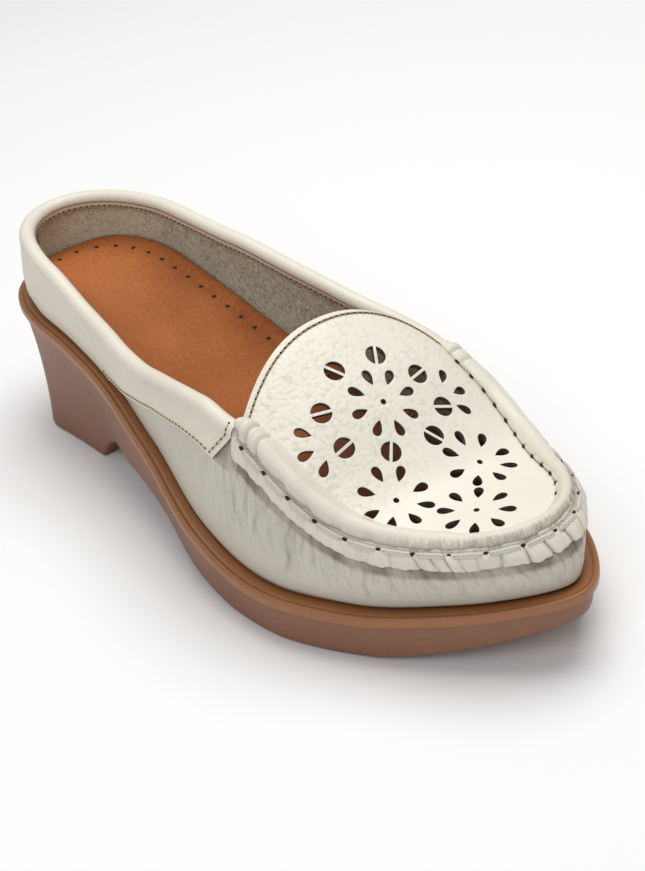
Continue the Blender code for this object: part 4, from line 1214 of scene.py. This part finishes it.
def make_ridge():
    """Roll and flange as one strip: inner side, roll, then the flange's face, raw edge and back."""
    rows = [inner_side(q) for q in np.linspace(1.0, 0.0, 13)]
    rows += [ridge_surface(angle) for angle in np.linspace(2.0, -0.15, 22)]
    flange = len(rows)        # number of the flange's first row
    face = [(t, FLANGE_THICKNESS * lift) for t, lift in (
        (0.16, 0.62), (0.24, 0.78), (0.33, 0.88), (0.42, 0.94), (0.52, 0.96), (0.62, 0.96), (0.72, 0.95),
        (0.81, 0.93), (0.89, 0.90), (0.945, 0.84), (0.985, 0.66), (1.0, 0.40), (0.995, 0.16), (0.96, 0.03),
        (0.5, 0.0), (0.1, 0.0))]
    rows += [flange_surface(t, lift) for t, lift in face]
    tube = np.array(rows + rows[:1])
    ends = []
    for end, ahead in ((0, 1), (-1, -2)):
        loop = tube[:, end]
        middle = loop[8:flange - 3].mean(axis=0)
        bulge = unit(RIDGE["seam"][end] - RIDGE["seam"][ahead])
        round_end = [middle + (loop - middle) * size + bulge * out
                     for size, out in ((0.90, 0.0008), (0.70, 0.0014), (0.40, 0.0018), (0.0, 0.0019))]
        ends.append(np.array([loop] + round_end))
    front = RIDGE["front"]
    shade = np.zeros(tube.shape[:2])
    # Painted shade in the valley between the roll and the flange, where the outer stitches lie
    shade[flange - 5:flange + 1] = np.array([0.05, 0.12, 0.26, 0.46, 0.58, 0.30])[:, None]
    # Painted shade in the tight wraps near each end
    shade[4:flange + 1] += 0.38 * wraps(0.0003, 0.0003)[None]
    # Painted shade in the cuts across the flange round the toe
    for row, (t, _) in enumerate(face, flange):
        away, depth = flange_cuts(t)
        shade[row] += 0.75 * front * depth * bell(away, 0.00026)
    # Painted shade on the flange's raw edge, which turns down under it
    shade[flange + 10:flange + 14] += 0.45
    # Painted shade where the roll is stitched down on the apron
    shade[:3] += 0.35 * (1 - RIDGE["soft"])[None]
    # Strength of the fine wrinkles, whose dark lines are painted shade
    zone = np.zeros(tube.shape[:2])
    zone[flange - 13:flange + 1] = front[None] * 1.1
    zone[flange + 1:flange + 13] = 0.35
    extra = [np.zeros(end.shape[0] * end.shape[1]) for end in ends]
    run = np.broadcast_to(RIDGE["run"][None], tube.shape[:2])
    down = np.broadcast_to(np.arange(len(tube))[:, None] * 0.0005, tube.shape[:2])
    points, faces = sheets([tube] + ends, None, [False, True, False])
    new_piece("rolled_ridge", points, faces, RIDGE_LEATHER, "apron_ridge", "apron_ridge",
              shade=np.concatenate([np.clip(shade, 0, 1).ravel()] + extra),
              zone=np.concatenate([zone.ravel()] + extra), run=np.concatenate([run.ravel()] + extra),
              down=np.concatenate([down.ravel()] + extra))


def stitch_line(name, row, normal, pitch, first, last, side):
    """Waxed thread between holes along a row: a long bead per stitch, and at each end a dark grain, painted
    shade of the hole.
    """
    run = RIDGE["run"]
    holes = np.arange(first, last, pitch)
    spots, ups = read_at(holes, run, row), unit(read_at(holes, run, normal))
    ahead = unit(read_at(holes + 0.0005, run, row) - read_at(holes - 0.0005, run, row))
    add_grains(f"stitch_holes_{name}", spots, ahead, ups, HAND_HOLE, HOLE_SHADE, 10, 5)
    middles = (holes[:-1] + holes[1:]) / 2
    centres, over = read_at(middles, run, row), unit(read_at(middles, run, normal))
    way = spots[1:] - spots[:-1]
    half = np.linalg.norm(way, axis=1) / 2 * 0.86
    sizes = np.column_stack([half, np.full_like(half, HAND_THREAD), np.full_like(half, HAND_THREAD * 0.9)])
    for strand, offset in enumerate(side):
        aside = np.cross(over, unit(way)) * offset
        add_grains(f"hand_stitches_{name}_{strand}", centres + over * HAND_THREAD + aside, unit(way), over,
                   sizes, WHITE_THREAD, 8, 9)


def make_hand_stitches():
    """Stitches along the roll's outer foot, and along its inner foot on the inner side."""
    whole = RIDGE["run"][-1]
    over = FLANGE_THICKNESS * (0.52 + 0.25 * RIDGE["front"])
    valley = RIDGE["toe"] + RIDGE["out"] * over[:, None] + RIDGE["down"] * 0.0007
    normal = unit(RIDGE["out"] + RIDGE["peak"] * 0.5)
    stitch_line("outer", valley, normal, HAND_PITCH, 0.0028, whole - 0.002, (-0.00028, 0.00034))
    inner = RIDGE["foot"] + RIDGE["peak"] * 0.00035 - RIDGE["across"] * 0.0002
    stitch_line("inner", inner, RIDGE["peak"], INNER_PITCH, whole * 0.60, whole - 0.004, (0.0,))


# Collar

BAND_STATIONS = np.where(STATIONS <= BAND_END)[0]
COLLAR_PATH = np.r_[2 * AROUND - BAND_STATIONS[:0:-1], BAND_STATIONS]
COLLAR_LOW = level_below(smooth(COLLAR, "width", ALONG) * COLLAR_WIDTH, 0.95)
COLLAR_LIP_AT = level_below(COLLAR_LIP, 0.9)
BAND_ROWS = slice(3, 22)        # rows of the collar that lie on the outside of the wall
BAND_END_ROWS = slice(5, 31)    # rows of the seam at its front ends


def beside(level, distance, rise=0.0):
    """Point beside the wall at a level, moved outwards and up, along the collar's path."""
    point = wall(level)
    point[:, :2] += TOP_OUT * distance
    point[:, 2] += rise
    return point[COLLAR_PATH]


def slanted(row, back):
    """A row of the band drawn in at both ends by a number of stations."""
    count = len(row)
    places = back + (count - 1 - 2 * back) * np.arange(count) / (count - 1)
    return read_at(places, np.arange(count), row)


def make_collar():
    """Band outside the wall, rolled over the top edge in a half circle and tucked in on a lip.

    Its front ends slant: the lower a row, the farther back it stops.
    """
    skin, inside = GAP + COLLAR_BAND, -UPPER_WALL - 2 * GAP
    middle, radius = -UPPER_WALL / 2, skin + UPPER_WALL / 2
    lower = ((0, GAP * 0.4, 0), (0, GAP + 0.0004, -0.0001), (0.004, skin - 0.0003, 0),
             (0.012, skin - 0.00008, 0))
    rows = [beside(COLLAR_LOW + add, distance, drop) for add, distance, drop in lower]
    backs = [BAND_SLANT] * len(rows)
    for t in np.linspace(0.04, 0.93, 18):
        swell = 0.00022 * np.sin(np.pi * np.clip((t - 0.12) / 0.4, 0, 1))
        rows.append(beside(COLLAR_LOW + (1 - COLLAR_LOW) * t, skin + swell))
        backs.append(BAND_SLANT * (1 - t))
    for angle in np.linspace(-0.15, np.pi + 0.15, 17):
        bulge = radius * (1.16 + 0.06 * np.sin(angle))
        rows.append(beside(1.0, middle + bulge * np.cos(angle), bulge * np.sin(angle) * 0.95))
    lip = len(rows)           # number of the lip's first row
    rows += [beside(1 - (1 - COLLAR_LIP_AT) * t, inside - COLLAR_BAND) for t in np.linspace(0.1, 0.8, 6)]
    for distance in (inside - COLLAR_BAND * 0.5, inside):
        rows.append(beside(1 - (1 - COLLAR_LIP_AT) * 0.86, distance))
    backs += [0] * (len(rows) - len(backs))
    tube = np.array([slanted(row, back) for row, back in zip(rows, backs)])
    shade = np.zeros(tube.shape[:2])
    # Painted shade along the band's lower edge, where it laps the wall, and on the lip tucked in under the
    # roll
    shade[:3] = 0.55
    shade[lip:] = 0.08
    points, faces = sheets([tube])
    new_piece("collar_band", points, faces, SMOOTH_LEATHER, "collar", "collar", shade=shade)
    return tube


def seam_row(name, path, normal, material, start=0.001):
    """A row of fine stitches on a path: thin threads with a dark grain between each two, painted shade of
    the hole.
    """
    spots, ups = even_spots(path, SEAM_PITCH, start, normal)
    way = spots[1:] - spots[:-1]
    half = np.linalg.norm(way, axis=1) * 0.34
    sizes = np.column_stack([half, np.full_like(half, SEAM_THREAD), np.full_like(half, SEAM_THREAD)])
    middles = (spots[1:] + spots[:-1]) / 2
    add_grains(name + "_threads", middles, unit(way), unit(ups[1:]), sizes, material, 6, 4)
    ahead = unit(np.vstack([way, way[-1:]]))
    add_grains(name + "_holes", spots, ahead, unit(ups), SEAM_HOLE, HOLE_SHADE, 8, 3)


def inset_row(grid, distance):
    """Row of points at a distance from a grid's first row, measured along its columns."""
    way = np.concatenate([np.zeros((1, grid.shape[1])),
                          np.cumsum(np.linalg.norm(np.diff(grid, axis=0), axis=2), axis=0)])
    columns = range(grid.shape[1])
    return np.array([[np.interp(distance, way[:, c], grid[:, c, k]) for k in range(3)] for c in columns])


def make_seams(band):
    """Rows of fine stitches: throat edge, collar's lower edge and ends, lining under the roll."""
    throat = inset_row(APRON_FINE, THROAT_SEAM)[3:-3]
    up = APRON_NORMAL[2, 3:-3]
    seam_row("throat", throat + up * 0.00008, up, BROWN_THREAD)
    out = TOP_AWAY[COLLAR_PATH]
    lower = inset_row(band[BAND_ROWS], BAND_SEAM)
    place, half = np.arange(len(out)), len(out) // 2
    shown = (ALONG[COLLAR_PATH] > BAND_SEAM_BACK) & (place >= BAND_TRIM) & (place < len(out) - BAND_TRIM)
    for name, part in (("inner", shown & (place < half)), ("outer", shown & (place >= half))):
        seam_row(f"collar_{name}", lower[part] + out[part] * 0.00006, out[part], GOLD_THREAD)
    for name, place in (("inner", BAND_TRIM - 1), ("outer", -BAND_TRIM)):
        end = band[BAND_END_ROWS, place]
        lift = grid_normals(band)[BAND_END_ROWS, place]
        lift = lift * np.sign((lift * out[place]).sum(axis=1) + lift[:, 2])[:, None]
        seam_row(f"collar_end_{name}", end + lift * 0.00005, lift, GOLD_THREAD, start=0.0004)
    lip = beside(1 - (1 - COLLAR_LIP_AT) * 0.62, -UPPER_WALL - 2 * GAP - COLLAR_BAND - 0.00005)
    seam_row("collar_lining", lip, -out, BROWN_THREAD)


# Camera, light and floor

def make_camera():
    """A camera at its place, level with its own up direction, looking at its aim."""
    camera = add_object("camera", bpy.data.cameras.new("camera"))
    camera.data.sensor_width = 36.0
    camera.data.lens = CAMERA_LENS
    camera.data.clip_start = 0.02
    back = (Vector(CAMERA_PLACE) - Vector(CAMERA_AIM)).normalized()
    right = Vector(CAMERA_UP).cross(back).normalized()
    up = back.cross(right)
    turn = Matrix((right, up, back)).transposed().to_4x4()
    camera.matrix_world = Matrix.Translation(CAMERA_PLACE) @ turn
    bpy.context.scene.camera = camera


def area_light(name, place, aim, size, power, colour):
    """A round area light at a place, turned to an aim."""
    lamp = bpy.data.lights.new(name, "AREA")
    lamp.shape, lamp.size, lamp.energy, lamp.color = "DISK", size, power, colour
    light = add_object(name, lamp)
    light.location = place
    light.rotation_mode = "QUATERNION"
    light.rotation_quaternion = (Vector(aim) - Vector(place)).to_track_quat("-Z", "Y")


def make_studio():
    """A pale floor and soft lights: a broad one over the heel, a fill from the camera's side."""
    mesh = bpy.data.meshes.new("floor")
    mesh.from_pydata([(-4, -4, 0), (4, -4, 0), (4, 4, 0), (-4, 4, 0)], [], [(0, 1, 2, 3)])
    mesh.materials.append(new_material("pale floor", Roughness=0.9, Base_Color=(0.90, 0.90, 0.90, 1.0))[0])
    floor = add_object("floor", mesh)
    world = bpy.data.worlds.new("studio")
    world.use_nodes = True
    fill(world.node_tree, world.node_tree.nodes["Background"], Color=(1.0, 1.0, 1.0, 1.0), Strength=0.37)
    bpy.context.scene.world = world
    area_light("key", (-0.10, 0.22, 1.00), (0.0, 0.0, 0.03), 0.85, 7.9, (1.0, 0.99, 0.97))
    area_light("fill", (0.38, -0.68, 0.78), (-0.03, 0.0, 0.03), 0.60, 2.5, (0.97, 0.985, 1.0))
    bpy.context.scene.view_settings.view_transform = "Standard"


make_camera()
make_studio()
make_sole()
make_footbed()
make_pinholes()
make_vamp()
make_lining()
make_apron()
make_ridge()
make_hand_stitches()
make_seams(make_collar())
